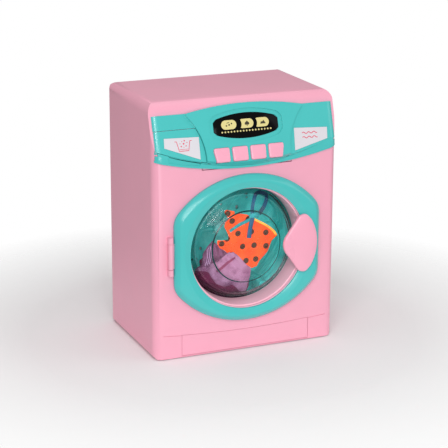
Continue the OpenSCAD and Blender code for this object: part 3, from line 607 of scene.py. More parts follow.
# the liner is painted lighter than the handle's pink that it is moulded with: painted light on its
# band, which the lamps barely reach
LINER_PINK_PAINTED_LIGHT = MouldedPlastic("moulded_abs_liner_pink_painted_light", "#FFC6D7", 0.24, coat=0.2)
DISPLAY_BLACK = MouldedPlastic("polished_black_acrylic", "#060607", 0.16, grain_depth=0.0, ior=1.22)
ICON_YELLOW = MouldedPlastic("lit_icon_film", "#E2D58E", 0.5, flow_mm=5.0)
ICON_INK = MouldedPlastic("printed_icon_ink", "#3A331C", 0.6)
LABEL_WHITE = MouldedPlastic("printed_label_film", "#DCD9DF", 0.4)
LABEL_INK = MouldedPlastic("printed_red_ink", "#E0506A", 0.5)
FOOT_RUBBER = MouldedPlastic("moulded_foot_rubber", "#3A3A3E", 0.75, grain_depth=0.1)
SCREW_STEEL = Metal("zinc_plated_steel", "#C9CCD2", 0.3)
BOARD_GREEN = MouldedPlastic("masked_circuit_board", "#1F6B3A", 0.35)
LED_CLEAR = MouldedPlastic("moulded_led_epoxy", "#FBF3CF", 0.15, coat=0.4)
PAD_SILICONE = MouldedPlastic("moulded_silicone_pad", "#C4C4C8", 0.6)
TRAY_WHITE = MouldedPlastic("moulded_pp_tray", "#ECEEF2", 0.4)
GEAR_NATURAL = MouldedPlastic("moulded_natural_acetal", "#EFECE0", 0.3)
BUSH_BRASS = Metal("turned_brass", "#D9B45B", 0.25)
MOTOR_CAN = Metal("rolled_motor_can", "#C3C6CB", 0.28)
SPEAKER_BLACK = MouldedPlastic("pressed_speaker_paper", "#242428", 0.8, grain_depth=0.3)
BOX_GREY = MouldedPlastic("moulded_abs_grey", "#505056", 0.45)
CELL_JACKET = MouldedPlastic("shrunk_cell_jacket", "#33339A", 0.25, coat=0.3)
DRESS_COTTON = Cloth(
    "printed_orange_cotton",
    "#F84A00",
    "#F03E00",
    sheen=0.03,
    dot="#3F1D06",
    dot_spots=(
        (-17.4, 32.8),
        (-13.0, 25.4),
        (-7.0, 12.5),
        (6.8, 12.6),
        (21.8, 10.3),
        (-17.9, 8.6),
        (-23.4, 4.3),
        (-2.1, -0.8),
        (9.7, -0.9),
        (22.0, -3.0),
        (1.5, -15.2),
        (11.5, -14.8),
        (3.5, 25.5),
    ),
)
# pale orange strip: a painted highlight along the dress's upper right edge
HIGHLIGHT_RIM_COTTON = Cloth("orange_painted_highlight_rim", "#FFA63C", "#FF8A1E", sheen=0.1)
RIBBON_BLUE = Cloth("woven_blue_satin", "#03496C", "#022E4C", 0.4, 0.6, 0.0, "#8FD8FF")
# pale cyan copy of the blue satin: a painted highlight for the lit tail and the knot
RIBBON_HIGHLIGHT = Cloth("blue_satin_painted_highlight", "#128A90", "#087078", 0.4, 0.5, 0.02, "#C8F4FF")
ORGANZA_LIGHT = Cloth(
    "sheer_mauve_organza", "#B4789C", "#8A4A72", 0.9, 0.55, 0.2, "#F2D8F0", 0.74, glint="#E2C2DC"
)
ORGANZA_DARK = Cloth(
    "sheer_plum_organza", "#7E4468", "#5C2A48", 0.9, 0.6, 0.05, "#E8C8E6", 0.84, glint="#B884A8"
)
ORGANZA_DEEP = Cloth("plum_lining_satin", "#822650", "#5A1238", 0.6, 0.5, 0.1, "#D8A0C0")
ELASTIC = MouldedPlastic("spun_elastic_thread", "#B98AAE", 0.7)


# ---------------------------------------------------------------- mesh tools


def new_object(name: str, bm: bmesh.types.BMesh, smooth_deg: float = 35.0) -> bpy.types.Object:
    """Turns a finished bmesh, drawn in millimetres, into an object at the origin.

    Args:
        name: Name of the object and its mesh.
        bm: The mesh, which is freed.
        smooth_deg: Edges sharper than this stay hard.

    Returns:
        The object, linked to the scene.
    """
    bmesh.ops.scale(bm, vec=(MM, MM, MM), verts=bm.verts)
    for face in bm.faces:
        face.smooth = True
    for edge in bm.edges:
        if edge.is_manifold:
            edge.smooth = edge.calc_face_angle(0.0) < math.radians(smooth_deg)
    mesh = bpy.data.meshes.new(name)
    bm.to_mesh(mesh)
    bm.free()
    obj = bpy.data.objects.new(name, mesh)
    bpy.context.scene.collection.objects.link(obj)
    return obj


def soften(obj: bpy.types.Object, width_mm: float, segments: int = 2, angle: float = 30.0) -> None:
    """Rounds an object's hard edges, as a mould does.

    Args:
        obj: The object.
        width_mm: Width of the rounding.
        segments: Faces across the rounding.
        angle: Only edges sharper than this many degrees are rounded.
    """
    bevel = obj.modifiers.new("soft_edges", "BEVEL")
    bevel.width = width_mm * MM
    bevel.segments = segments
    bevel.limit_method = "ANGLE"
    bevel.angle_limit = math.radians(angle)
    bevel.harden_normals = True
    bevel.use_clamp_overlap = True


def thicken(obj: bpy.types.Object, thickness_mm: float) -> None:
    """Gives a sheet its thickness, evenly to both sides.

    Args:
        obj: The sheet.
        thickness_mm: Its thickness.
    """
    wall = obj.modifiers.new("thickness", "SOLIDIFY")
    wall.thickness = thickness_mm * MM
    wall.offset = 0.0


def new_verts(geometry: Sequence[object]) -> list[bmesh.types.BMVert]:
    """Picks the vertices out of what an operator made."""
    return [item for item in geometry if isinstance(item, bmesh.types.BMVert)]


def edges_among(verts: Sequence[bmesh.types.BMVert]) -> list[bmesh.types.BMEdge]:
    """Finds the edges that join vertices of one group.

    Args:
        verts: The group.

    Returns:
        Each edge once.
    """
    group = set(verts)
    found = {edge for vert in verts for edge in vert.link_edges if set(edge.verts) <= group}
    return sorted(found, key=lambda edge: edge.verts[0].index)


def round_off(
    bm: bmesh.types.BMesh, edges: Sequence[bmesh.types.BMEdge], width: float, segments: int
) -> None:
    """Rounds edges of a mesh.

    Args:
        bm: The mesh.
        edges: The edges.
        width: Width of the rounding.
        segments: Faces across it.
    """
    bmesh.ops.bevel(
        bm,
        geom=edges,
        offset=width,
        offset_type="OFFSET",
        segments=segments,
        profile=0.5,
        affect="EDGES",
        material=-1,
        clamp_overlap=True,
    )


def rounded(outline: Sequence[tuple[float, float, float]], segments: int) -> list[Vector]:
    """Puts an arc at each corner of a closed flat outline.

    Args:
        outline: Each corner's X, Y and radius, in order; a radius of 0 leaves it as it is.
        segments: Steps round each corner.

    Returns:
        The outline's points.
    """
    points = []
    for index, (x, y, radius) in enumerate(outline):
        corner = Vector((x, y))
        behind = Vector(outline[index - 1][:2]) - corner
        ahead = Vector(outline[(index + 1) % len(outline)][:2]) - corner
        half = behind.angle(ahead) / 2
        if not radius or half > NEARLY_STRAIGHT:
            points.append(corner)
            continue
        longest = 0.48 * min(behind.length, ahead.length)  # leaves room for the next arc
        reach = min(radius / math.tan(half), longest)
        behind, ahead = behind.normalized(), ahead.normalized()
        middle = corner + (behind + ahead).normalized() * reach / math.cos(half)
        start, end = corner + behind * reach - middle, corner + ahead * reach - middle
        arm = start.length
        # slerp gives unit vectors, so the arm restores the arc's radius
        points += [middle + arm * start.slerp(end, i / segments) for i in range(segments + 1)]
    return points


def face_outwards(bm: bmesh.types.BMesh) -> None:
    """Merges doubles and turns every face of a closed shape outwards."""
    bmesh.ops.remove_doubles(bm, verts=bm.verts, dist=BUILT)
    bmesh.ops.recalc_face_normals(bm, faces=bm.faces)


def move_all(bm: bmesh.types.BMesh, place: Callable[[Vector], Vector]) -> None:
    """Moves every vertex to the place that a function gives for it."""
    for vert in bm.verts:
        vert.co = place(vert.co.copy())


Station = Callable[[float], Vector]


def skin(
    bm: bmesh.types.BMesh, stations: Sequence[Station], steps: int, closed: bool = False
) -> None:
    """Extrudes a ring of edges from station to station.

    Args:
        bm: Mesh that takes the skin.
        stations: Each gives the point of its loop at a turn from 0 to 2 pi.
        steps: Points round a loop.
        closed: The last loop is bridged to the first, else both stay open.
    """
    turn = bm.verts.layers.float.get("turn") or bm.verts.layers.float.new("turn")
    loop = bmesh.ops.create_circle(bm, cap_ends=False, radius=1.0, segments=steps)["verts"]
    for vert in loop:
        # the operator's order of vertices isn't relied on
        vert[turn] = math.atan2(vert.co.y, vert.co.x) % math.tau
        vert.co = stations[0](vert[turn])
    first = edges_among(loop)
    edges = first
    for station in stations[1:]:
        loop = new_verts(bmesh.ops.extrude_edge_only(bm, edges=edges)["geom"])
        edges = edges_among(loop)
        for vert in loop:
            vert.co = station(vert[turn])
    if closed:
        bmesh.ops.bridge_loops(bm, edges=first + edges)


def chain(
    bm: bmesh.types.BMesh, points: Sequence[Vector]
) -> tuple[list[bmesh.types.BMVert], list[bmesh.types.BMEdge]]:
    """Draws an open line of edges.

    Args:
        bm: Mesh that takes the line.
        points: Its corners, in order.

    Returns:
        Its vertices and its edges.
    """
    verts = list(bmesh.ops.create_vert(bm, co=points[0])["vert"])
    edges = []
    for point in points[1:]:
        made = bmesh.ops.extrude_vert_indiv(bm, verts=[verts[-1]])
        made["verts"][0].co = point
        verts.append(made["verts"][0])
        edges += made["edges"]
    return verts, edges


def revolve(bm: bmesh.types.BMesh, profile: Sequence[tuple[float, float]], steps: int) -> None:
    """Spins a profile about the door and drum axis.

    Args:
        bm: Mesh that takes the shape.
        profile: Radius and depth (Y) of each point in order; a radius of 0 closes on the axis.
        steps: Faces round the axis.
    """
    verts, edges = chain(bm, [Vector((radius, depth, DOOR_Z)) for radius, depth in profile])
    bmesh.ops.spin(
        bm,
        geom=verts + edges,
        cent=(0.0, 0.0, DOOR_Z),
        axis=(0.0, 1.0, 0.0),
        angle=math.tau,
        steps=steps,
        use_merge=True,
        use_duplicate=False,
    )
    bmesh.ops.remove_doubles(bm, verts=bm.verts, dist=2 * BUILT)


def add_block(
    bm: bmesh.types.BMesh, low: Sequence[float], high: Sequence[float]
) -> list[bmesh.types.BMVert]:
    """Adds a plain block.

    Args:
        bm: Mesh that takes the block.
        low: Its lowest corner.
        high: Its highest corner.

    Returns:
        Its vertices.
    """
    made = bmesh.ops.create_cube(bm, size=1.0)["verts"]
    bmesh.ops.scale(bm, vec=[b - a for a, b in zip(low, high)], verts=made)
    bmesh.ops.translate(bm, vec=[(a + b) / 2 for a, b in zip(low, high)], verts=made)
    return made


def add_box(
    bm: bmesh.types.BMesh, low: Sequence[float], high: Sequence[float], round_mm: float
) -> None:
    """Adds a box with rounded edges.

    Args:
        bm: Mesh that takes the box.
        low: Its lowest corner.
        high: Its highest corner.
        round_mm: Width of the rounding.
    """
    round_off(bm, edges_among(add_block(bm, low, high)), round_mm, 2)


def add_pin(bm: bmesh.types.BMesh, middle: Sequence[float], radius: float, length: float) -> None:
    """Adds an upright round pin with rounded ends.

    Args:
        bm: Mesh that takes the pin.
        middle: Its middle.
        radius: Its radius.
        length: Its length.
    """
    made = bmesh.ops.create_cone(
        bm,
        cap_ends=True,
        segments=40,
        radius1=radius,
        radius2=radius,
        depth=length,
        matrix=Matrix.Translation(middle),
    )["verts"]
    rims = [e for e in edges_among(made) if any(len(f.verts) > 4 for f in e.link_faces)]
    round_off(bm, rims, min(0.4, radius / 4), 2)


def cut_away(
    obj: bpy.types.Object, boxes: Sequence[tuple[Sequence[float], Sequence[float]]]
) -> None:
    """Cuts boxes out of a piece.

    Args:
        obj: The piece, whose modifiers are applied first.
        boxes: Lowest and highest corner of each box, in millimetres.
    """
    bm = bmesh.new()
    for low, high in boxes:
        add_block(bm, low, high)
    cutter = new_object("cutter", bm)
    cut = obj.modifiers.new("cut", "BOOLEAN")
    cut.object, cut.operation, cut.solver = cutter, "DIFFERENCE", "EXACT"
    graph = bpy.context.evaluated_depsgraph_get()
    obj.data = bpy.data.meshes.new_from_object(obj.evaluated_get(graph))
    obj.modifiers.clear()
    bpy.data.objects.remove(cutter)


def on_panel(x: float, v: float, n: float) -> Vector:
    """Place on the sloping panel.

    Args:
        x: Across the panel.
        v: Up the slope.
        n: Out of the panel.

    Returns:
        The point, in millimetres.
    """
    sine, cosine = math.sin(PANEL_TILT), math.cos(PANEL_TILT)
    return PANEL_FOOT + Vector((x, v * sine - n * cosine, v * cosine + n * sine))


@dataclass(frozen=True)
class Crown:
    """How the top of a plate rounds over at its edge and rises to its middle.

    Attributes:
        edge: Inset and rise of each step of the edge.
        dome: Rise from there to the middle.
        rings: Loops between the edge and the middle.
    """

    edge: tuple[tuple[float, float], ...]
    dome: float = 0.0
    rings: int = 5


def crowned_plate(
    bm: bmesh.types.BMesh,
    outline: Sequence[tuple[float, float, float]],
    height: float,
    crown: Crown,
    segments: int = 5,
) -> None:
    """Draws a plate with round corners and a crowned top, lying at height 0 and facing +Z.

    Args:
        bm: Mesh that takes the plate.
        outline: Each corner's X, Y and radius, in order; a radius of 0 leaves it as it is.
        height: From the underside to where the crown starts.
        crown: Shape of the top.
        segments: Faces round each corner.
    """
    before = set(bm.faces)
    verts, edges = chain(bm, [point.to_3d() for point in rounded(outline, segments)])
    edges += bmesh.ops.contextual_create(bm, geom=[verts[-1], verts[0]])["edges"]
    bmesh.ops.contextual_create(bm, geom=edges)
    base = [face for face in bm.faces if face not in before]
    made = bmesh.ops.extrude_face_region(bm, geom=base)
    top = [item for item in made["geom"] if isinstance(item, bmesh.types.BMFace)]
    bmesh.ops.translate(bm, vec=(0.0, 0.0, height), verts=new_verts(made["geom"]))
    bm.normal_update()
    if top[0].normal.z < 0:
        bmesh.ops.reverse_faces(bm, faces=top)
    for inset, rise in crown.edge:
        bmesh.ops.inset_region(bm, faces=top, thickness=inset, depth=0.0, use_even_offset=True)
        bmesh.ops.translate(bm, vec=(0.0, 0.0, rise), verts=list(top[0].verts))
    if not crown.dome:
        return
    middle, past = top[0].calc_center_median(), 1.0
    near = Matrix.Translation(-middle)
    for ring in range(1, crown.rings + 1):
        share = 1 - ring / (crown.rings + 1)
        # the inset only makes the ring of faces, and the scale sets its width
        bmesh.ops.inset_region(bm, faces=top, thickness=0.001, depth=0.0)
        loop = list(top[0].verts)
        bmesh.ops.scale(bm, vec=(share / past, share / past, 1.0), space=near, verts=loop)
        bmesh.ops.translate(bm, vec=(0.0, 0.0, crown.dome * (past**2 - share**2)), verts=loop)
        past = share
    hub = bmesh.ops.poke(bm, faces=top)["verts"]
    bmesh.ops.translate(bm, vec=(0.0, 0.0, crown.dome * past**2), verts=hub)


Line = Sequence[tuple[float, float]]

# radius and depth (Y) of the inside of the window, then of the liner and the drum's mouth
WINDOW_INSIDE = (
    (0.0, -55.4),
    (32.8, -55.4),
    (34.5, -54.6),
    (38.4, -53.0),
    (41.6, -51.1),
    (46.8, -47.4),
    (50.9, -43.2),
    (52.9, -38.0),
    (57.6, -37.0),
    (60.0, -30.0),
    (60.4, -20.0),
)


def along(line: Line, share: float) -> Vector:
    """Point of a line.

    Args:
        line: Its corners.
        share: Share of its length, from 0 to 1.

    Returns:
        The point.
    """
    corners = [Vector(corner) for corner in line]
    lengths = [(b - a).length for a, b in zip(corners, corners[1:])]
    left = share * sum(lengths)
    for start, end, length in zip(corners, corners[1:], lengths):
        if left <= length:
            return start.lerp(end, left / length)
        left -= length
    return corners[-1]


def window_depth(radius: float) -> float:
    """Depth (Y) of the front of the room for cloth.

    Args:
        radius: Distance from the axis.

    Returns:
        The depth.
    """
    for (r0, y0), (r1, y1) in zip(WINDOW_INSIDE, WINDOW_INSIDE[1:]):
        if radius <= r1:
            return y0 + (y1 - y0) * (radius - r0) / (r1 - r0)
    return WINDOW_INSIDE[-1][1]


@dataclass
class Finisher:
    """Gives pieces their material and body, and keeps the count.

    Attributes:
        made: Materials built so far, by name.
        count: Pieces finished so far.
    """

    made: dict[str, bpy.types.Material]
    count: int = 0

    def material(self, finish: Finish) -> bpy.types.Material:
        """Gives the material of a finish, which is built once.

        Args:
            finish: The finish.

        Returns:
            The material.
        """
        if finish.name not in self.made:
            self.made[finish.name] = finish.build()
        return self.made[finish.name]

    def dress(
        self,
        obj: bpy.types.Object,
        finishes: Finish | Sequence[Finish],
        body: str,
        slot: str,
        nodes: Sequence[str] = (),
    ) -> bpy.types.Object:
        """Finishes a piece and fixes it to its body.

        Args:
            obj: The piece, in place.
            finishes: Its finish, or one for each material index.
            body: CAD body that it rides on.
            slot: Material slot of the record. Not used.
            nodes: CAD nodes that it stands for.

        Returns:
            The piece.
        """
        several = finishes if isinstance(finishes, (list, tuple)) else [finishes]
        for finish in several:
            obj.data.materials.append(self.material(finish))
        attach(obj, body)
        if nodes:
            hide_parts(*nodes)
        self.count += 1
        LOG.info("piece %s on %s, %d faces", obj.name, body, len(obj.data.polygons))
        return obj


def merged_copy(node: str, dissolve_deg: float = 0.4) -> bpy.types.Object:
    """Copies a CAD node's mesh as one clean skin.

    Args:
        node: Name of the CAD node.
        dissolve_deg: Faces within this angle of each other become one.

    Returns:
        The copy, which takes the node's name with _skin.
    """
    bm = bmesh.new()
    bm.from_mesh(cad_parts[node].data)
    bmesh.ops.remove_doubles(bm, verts=bm.verts, dist=4 * BUILT * MM)
    bmesh.ops.dissolve_limit(
        bm,
        angle_limit=math.radians(dissolve_deg),
        verts=bm.verts,
        edges=bm.edges,
        use_dissolve_boundaries=False,
    )
    bmesh.ops.scale(bm, vec=(1 / MM, 1 / MM, 1 / MM), verts=bm.verts)
    return new_object(node + "_skin", bm)


@dataclass(frozen=True)
class Carried:
    """A CAD node whose own shape is shown, with rounded edges and a finish.

    Attributes:
        node: Name of the node.
        finish: Its finish.
        body: CAD body that it rides on.
        slot: Material slot of the record.
        edge_mm: Width of the rounding of its edges, none at zero.
        trims: Boxes cut out of it, lowest and highest corner of each.
    """

    node: str
    finish: Finish
    body: str
    slot: str
    edge_mm: float = 0.25
    trims: tuple[tuple[tuple[float, float, float], tuple[float, float, float]], ...] = ()

    def build(self, finisher: Finisher) -> bpy.types.Object:
        """Builds the skin over the node.

        Args:
            finisher: Gives the piece its material and body.

        Returns:
            The piece.
        """
        obj = merged_copy(self.node)
        if self.trims:
            cut_away(obj, self.trims)
        if self.edge_mm:
            soften(obj, self.edge_mm)
        return finisher.dress(obj, self.finish, self.body, self.slot, [self.node])


# slivers that curl round the cabinet's corners under the wings
WING_TRIMS = (
    ((-94.0, -56.6, 194.0), (-90.9, -46.0, 203.2)),
    ((90.9, -56.6, 194.0), (94.0, -46.0, 203.2)),
)

CARRIED = (
    Carried("front_shell", BODY_PINK, "cabinet", "cabinet_pink", 0.35),
    Carried("rear_shell", BODY_PINK, "cabinet", "cabinet_pink", 0.35),
    Carried("kick_panel", BODY_PINK, "cabinet", "cabinet_pink", 0.3),
    Carried("feet", FOOT_RUBBER, "cabinet", "foot_rubber", 0.3),
    Carried("case_screws", SCREW_STEEL, "cabinet", "screw_steel", 0.15),
    Carried("control_panel", TRIM_TEAL, "cabinet", "trim_teal", 0.3, WING_TRIMS),
    Carried("panel_screws", SCREW_STEEL, "cabinet", "screw_steel", 0.1),
    Carried("display_icons", ICON_YELLOW, "cabinet", "icon_yellow", 0.08),
    Carried("panel_label", LABEL_WHITE, "cabinet", "label_white", 0.08),
    Carried("circuit_board", BOARD_GREEN, "cabinet", "board_green", 0.15),
    Carried("status_leds", LED_CLEAR, "cabinet", "led_clear", 0.1),
    Carried("key_pad", PAD_SILICONE, "cabinet", "pad_silicone", 0.2),
    Carried("drawer_front", TRIM_TEAL, "drawer", "trim_teal", 0.3),
    Carried("drawer_tray", TRAY_WHITE, "drawer", "tray_white", 0.25),
    Carried("drawer_label", LABEL_WHITE, "drawer", "label_white", 0.08),
    Carried("drawer_guide", TRAY_WHITE, "cabinet", "tray_white", 0.25),
    Carried("door_screws", SCREW_STEEL, "door", "screw_steel", 0.1),
    Carried("hinge_pin", SCREW_STEEL, "cabinet", "screw_steel", 0.2),
    Carried("latch_catch", TRAY_WHITE, "cabinet", "tray_white", 0.2),
    Carried("drum", DRUM_TEAL_PAINTED_LIGHT, "drum", "drum_teal", 0.3),
    Carried("drum_shaft", SCREW_STEEL, "drum", "screw_steel", 0.2),
    Carried("drum_gear", GEAR_NATURAL, "drum", "gear_natural", 0.1),
    Carried("shaft_bush", BUSH_BRASS, "cabinet", "bush_brass", 0.2),
    Carried("mid_gear", GEAR_NATURAL, "mid_gear", "gear_natural", 0.1),
    Carried("mid_axle", SCREW_STEEL, "cabinet", "screw_steel", 0.2),
    Carried("motor_pinion", BUSH_BRASS, "rotor", "bush_brass", 0.05),
    Carried("motor_shaft", SCREW_STEEL, "rotor", "screw_steel", 0.2),
    Carried("motor", MOTOR_CAN, "cabinet", "motor_can", 0.4),
    Carried("gearbox_front", TRAY_WHITE, "cabinet", "tray_white", 0.25),
    Carried("gearbox_cover", TRAY_WHITE, "cabinet", "tray_white", 0.25),
    Carried("gearbox_screws", SCREW_STEEL, "cabinet", "screw_steel", 0.1),
    Carried("speaker", SPEAKER_BLACK, "cabinet", "speaker_black", 0.2),
    Carried("battery_box", BOX_GREY, "cabinet", "box_grey", 0.3),
    Carried("battery_contacts", SCREW_STEEL, "cabinet", "screw_steel", 0.05),
    Carried("batteries", CELL_JACKET, "cabinet", "cell_jacket", 0.5),
    Carried("battery_cover", BODY_PINK, "cabinet", "cabinet_pink", 0.3),
    Carried("cover_screw", SCREW_STEEL, "cabinet", "screw_steel", 0.15),
    Carried("switch_body", BOX_GREY, "cabinet", "box_grey", 0.2),
    Carried("switch_knob", DISPLAY_BLACK, "switch_knob", "display_black", 0.3),
)


Dressed = tuple[bpy.types.Object, Finish | Sequence[Finish], str, str, Sequence[str]]


class Assembly:
    """Sub-assembly of rigid pieces, which are built and dressed one by one."""

    def pieces(self) -> Iterator[Dressed]:
        """Yields each piece with its finish, body, slot and the CAD nodes it stands for."""
        raise NotImplementedError

    def build(self, finisher: Finisher) -> None:
        """Builds and dresses the pieces.

        Args:
            finisher: Gives each piece its material and body.
        """
        for piece in self.pieces():
            finisher.dress(*piece)


# ---------------------------------------------------------------- door


@dataclass(frozen=True)
class Barrel:
    """Outline with upright sides, arched top and bottom and round corners.

    Attributes:
        half_width: From the axis to a side.
        half_height: From the axis to the crown of an arch.
        arc: Radius of the arches.
        corner: Radius of the corners.
    """

    half_width: float
    half_height: float
    arc: float
    corner: float

    def reach(self, turn: float, inset: float) -> float:
        """Distance from the axis to the outline.

        Args:
            turn: Direction, from +X towards +Z.
            inset: How far inside the outline.

        Returns:
            The distance.
        """
        half_width, corner, arc = self.half_width - inset, self.corner - inset, self.arc - inset
        cosine, sine = abs(math.cos(turn)), abs(math.sin(turn))
        low = self.half_height - self.arc
        far = sine * low + math.sqrt(arc**2 - (cosine * low) ** 2)
        far = min(far, half_width / max(cosine, 1e-6))
        mid_x = half_width - corner
        mid_z = low + math.sqrt((arc - corner) ** 2 - mid_x**2)
        along = cosine * mid_x + sine * mid_z
        left = along**2 - mid_x**2 - mid_z**2 + corner**2
        if left > 0:
            hit = along + math.sqrt(left)
            tilt = math.atan2(hit * sine - mid_z, hit * cosine - mid_x)
            if 0 <= tilt <= math.atan2(mid_z - low, mid_x):
                far = hit
        return far

    def station(self, inset: float, out: float) -> Station:
        """Loop inside the outline.

        Args:
            inset: How far inside the outline.
            out: How far in front of the door's back.

        Returns:
            The loop's points by turn.
        """

        def point(turn: float) -> Vector:
            """Point of the loop at a turn."""
            far = self.reach(turn, inset)
            return Vector((far * math.cos(turn), DOOR_BACK - out, DOOR_Z + far * math.sin(turn)))

        return point


def round_station(radius: float, out: float) -> Station:
    """Circular loop about the door's axis.

    Args:
        radius: Its radius.
        out: How far in front of the door's back.

    Returns:
        The loop's points by turn.
    """

    def point(turn: float) -> Vector:
        """Point of the loop at a turn."""
        return Vector((radius * math.cos(turn), DOOR_BACK - out, DOOR_Z + radius * math.sin(turn)))

    return point


class WallPart(IntEnum):
    """Parts of the window's wall, each with a finish of its own."""

    CLEAR = 0
    # the step carries a painted dark line of shade
    STEP = 1
    # the flank carries a tint painted as the reflection of the teal round it
    FLANK = 2
    # the root carries a grey tint painted as shade
    ROOT = 3
    RIM = 4


WALL_FINISHES = {
    WallPart.CLEAR: WINDOW_CLEAR,
    WallPart.STEP: WINDOW_STEP_SHADE,
    WallPart.FLANK: WINDOW_FLANK_REFLECTION,
    WallPart.ROOT: WINDOW_ROOT_SHADE,
    WallPart.RIM: WINDOW_RIM,
}


@dataclass
class Door(Assembly):
    """Door with its ring, lined opening, handle and domed window.

    Attributes:
        outline: Outline of the ring.
        hole: Radius of the ring's hole.
        crest: Radius of the crest round the dished edge.
        collar: Outer radius of the liner's collar.
        hinge: X and Y of the hinge axis.
        knuckle: Radius and length of the hinge barrel.
        disc: Radius of the flat disc in the window.
        step_depth: Depth (Y) that only the disc and its step lie in front of.
        rim: Inner and outer radius of the polished rim round the window's flank.
    """

    outline: Barrel = Barrel(74.0, 71.5, 92.0, 20.0)
    hole: float = 58.8
    crest: float = 65.5
    collar: float = 59.8
    hinge: tuple[float, float] = (-77.6, -60.0)
    knuckle: tuple[float, float] = (2.5, 24.4)
    disc: float = 34.5
    step_depth: float = -55.95
    rim: tuple[float, float] = (47.4, 49.2)

    def ring(self) -> bpy.types.Object:
        """Builds the teal ring: bevelled rim, flat band, crest and dished inner edge.

        Returns:
            The ring.
        """
        bm = bmesh.new()
        rim = [(0.0, 0.1), (0.0, 2.0), (0.12, 2.5), (0.6, 3.25), (2.3, 4.75)]
        rim += [(4.0, 6.2), (4.7, 6.65), (5.5, 6.9)]
        dish = [(self.crest + 0.35, 7.0), (self.crest - 0.2, 6.98), (self.crest - 0.8, 6.82)]
        dish += [(62.0, 6.05), (self.hole + 0.55, 5.4), (self.hole + 0.12, 5.2), (self.hole, 4.85)]
        dish += [(self.hole, 3.7), (self.collar + 0.1, 3.6), (self.collar + 0.1, 1.5)]
        stations = [self.outline.station(inset, out) for inset, out in rim]
        stations += [round_station(radius, out) for radius, out in dish]
        stations += [self.outline.station(1.8, 1.5), self.outline.station(1.7, 0.1)]
        skin(bm, stations, 360, closed=True)
        face_outwards(bm)
        # tongue that the latch holds, behind the ring
        add_box(bm, (66.6, -59.6, DOOR_Z - 5), (68.4, -51.0, DOOR_Z + 5), 0.4)
        return new_object("door_ring_shell", bm, 40.0)

    def liner(self) -> bpy.types.Object:
        """Builds the pink liner: lip, groove, sloping band and back flange.

        Returns:
            The liner.
        """
        bm = bmesh.new()
        band = [(58.45, -40.0), (55.7, -40.0), (56.9, -57.0), (57.1, -57.5), (57.6, -57.7)]
        groove = [(58.3, -57.75), (58.45, -58.2), (58.2, -58.6)]
        lip = [(58.25, -60.7), (58.45, -61.0), (59.6, -61.0), (59.8, -60.8), (59.8, -57.4)]
        revolve(bm, band + groove + lip + [(58.45, -57.4), (58.45, -40.0)], 200)
        stations = [self.outline.station(2.1, 0.15), self.outline.station(2.1, 1.35)]
        stations += [round_station(58.3, 1.35), round_station(58.3, 0.15)]
        skin(bm, stations, 240, closed=True)
        face_outwards(bm)
        return new_object("door_liner_shell", bm)

    def barrel(self) -> bpy.types.Object:
        """Builds the hinge barrel with its tab.

        Returns:
            The barrel.
        """
        bm = bmesh.new()
        x, y = self.hinge
        radius, length = self.knuckle
        tab = length / 2 - 0.2
        add_pin(bm, (x, y, DOOR_Z), radius, length)
        add_box(bm, (x, y + 0.7, DOOR_Z - tab), (-70.4, y + 2.3, DOOR_Z + tab), 0.25)
        face_outwards(bm)
        return new_object("door_hinge_barrel", bm)

    def handle(self) -> bpy.types.Object:
        """Builds the shield-shaped handle, softly crowned.

        Returns:
            The handle.
        """
        bm = bmesh.new()
        # the outer side is an arc, and the rest has rounded corners
        steps, middle, radius, span = 24, 24.3, 44.8, math.radians(31.0)
        turns = [span - 2 * span * i / steps for i in range(steps + 1)]
        outline = [(middle + radius * math.cos(a), radius * math.sin(a), 0.0) for a in turns]
        outline += [(57.0, -29.2, 6.5), (50.0, -27.0, 5.0), (30.7, 0.0, 14.5)]
        outline += [(50.0, 27.0, 5.0), (57.0, 29.2, 6.5)]
        crown = Crown(((0.18, 0.42), (0.3, 0.36), (0.45, 0.27), (0.7, 0.2)), 1.2, 7)
        crowned_plate(bm, outline, 1.85, crown, 8)
        foot = DOOR_BACK - 7.2
        move_all(bm, lambda p: Vector((p.x, foot - p.z, DOOR_Z + p.y)))
        face_outwards(bm)
        return new_object("door_handle", bm, 60.0)

    def root(self) -> bpy.types.Object:
        """Builds the curved root that joins the handle to the collar.

        Returns:
            The root.
        """
        bm = bmesh.new()
        reach = math.radians(17)
        radius, width, depth = 58.0, 1.2, 6.6
        start = bmesh.ops.create_grid(bm, x_segments=1, y_segments=1, size=0.5)["verts"]
        middle = Vector((radius, DOOR_BACK - 4.2, DOOR_Z))
        move_all(bm, lambda p: middle + Vector((width * p.x, depth * p.y, 0.0)))
        turn = Matrix.Rotation(reach, 4, "Y")
        bmesh.ops.rotate(bm, cent=(0, 0, DOOR_Z), matrix=turn, verts=start)
        bmesh.ops.spin(
            bm,
            geom=list(bm.faces),
            cent=(0, 0, DOOR_Z),
            axis=(0, 1, 0),
            angle=-2 * reach,
            steps=40,
        )
        face_outwards(bm)
        return new_object("door_handle_root", bm)

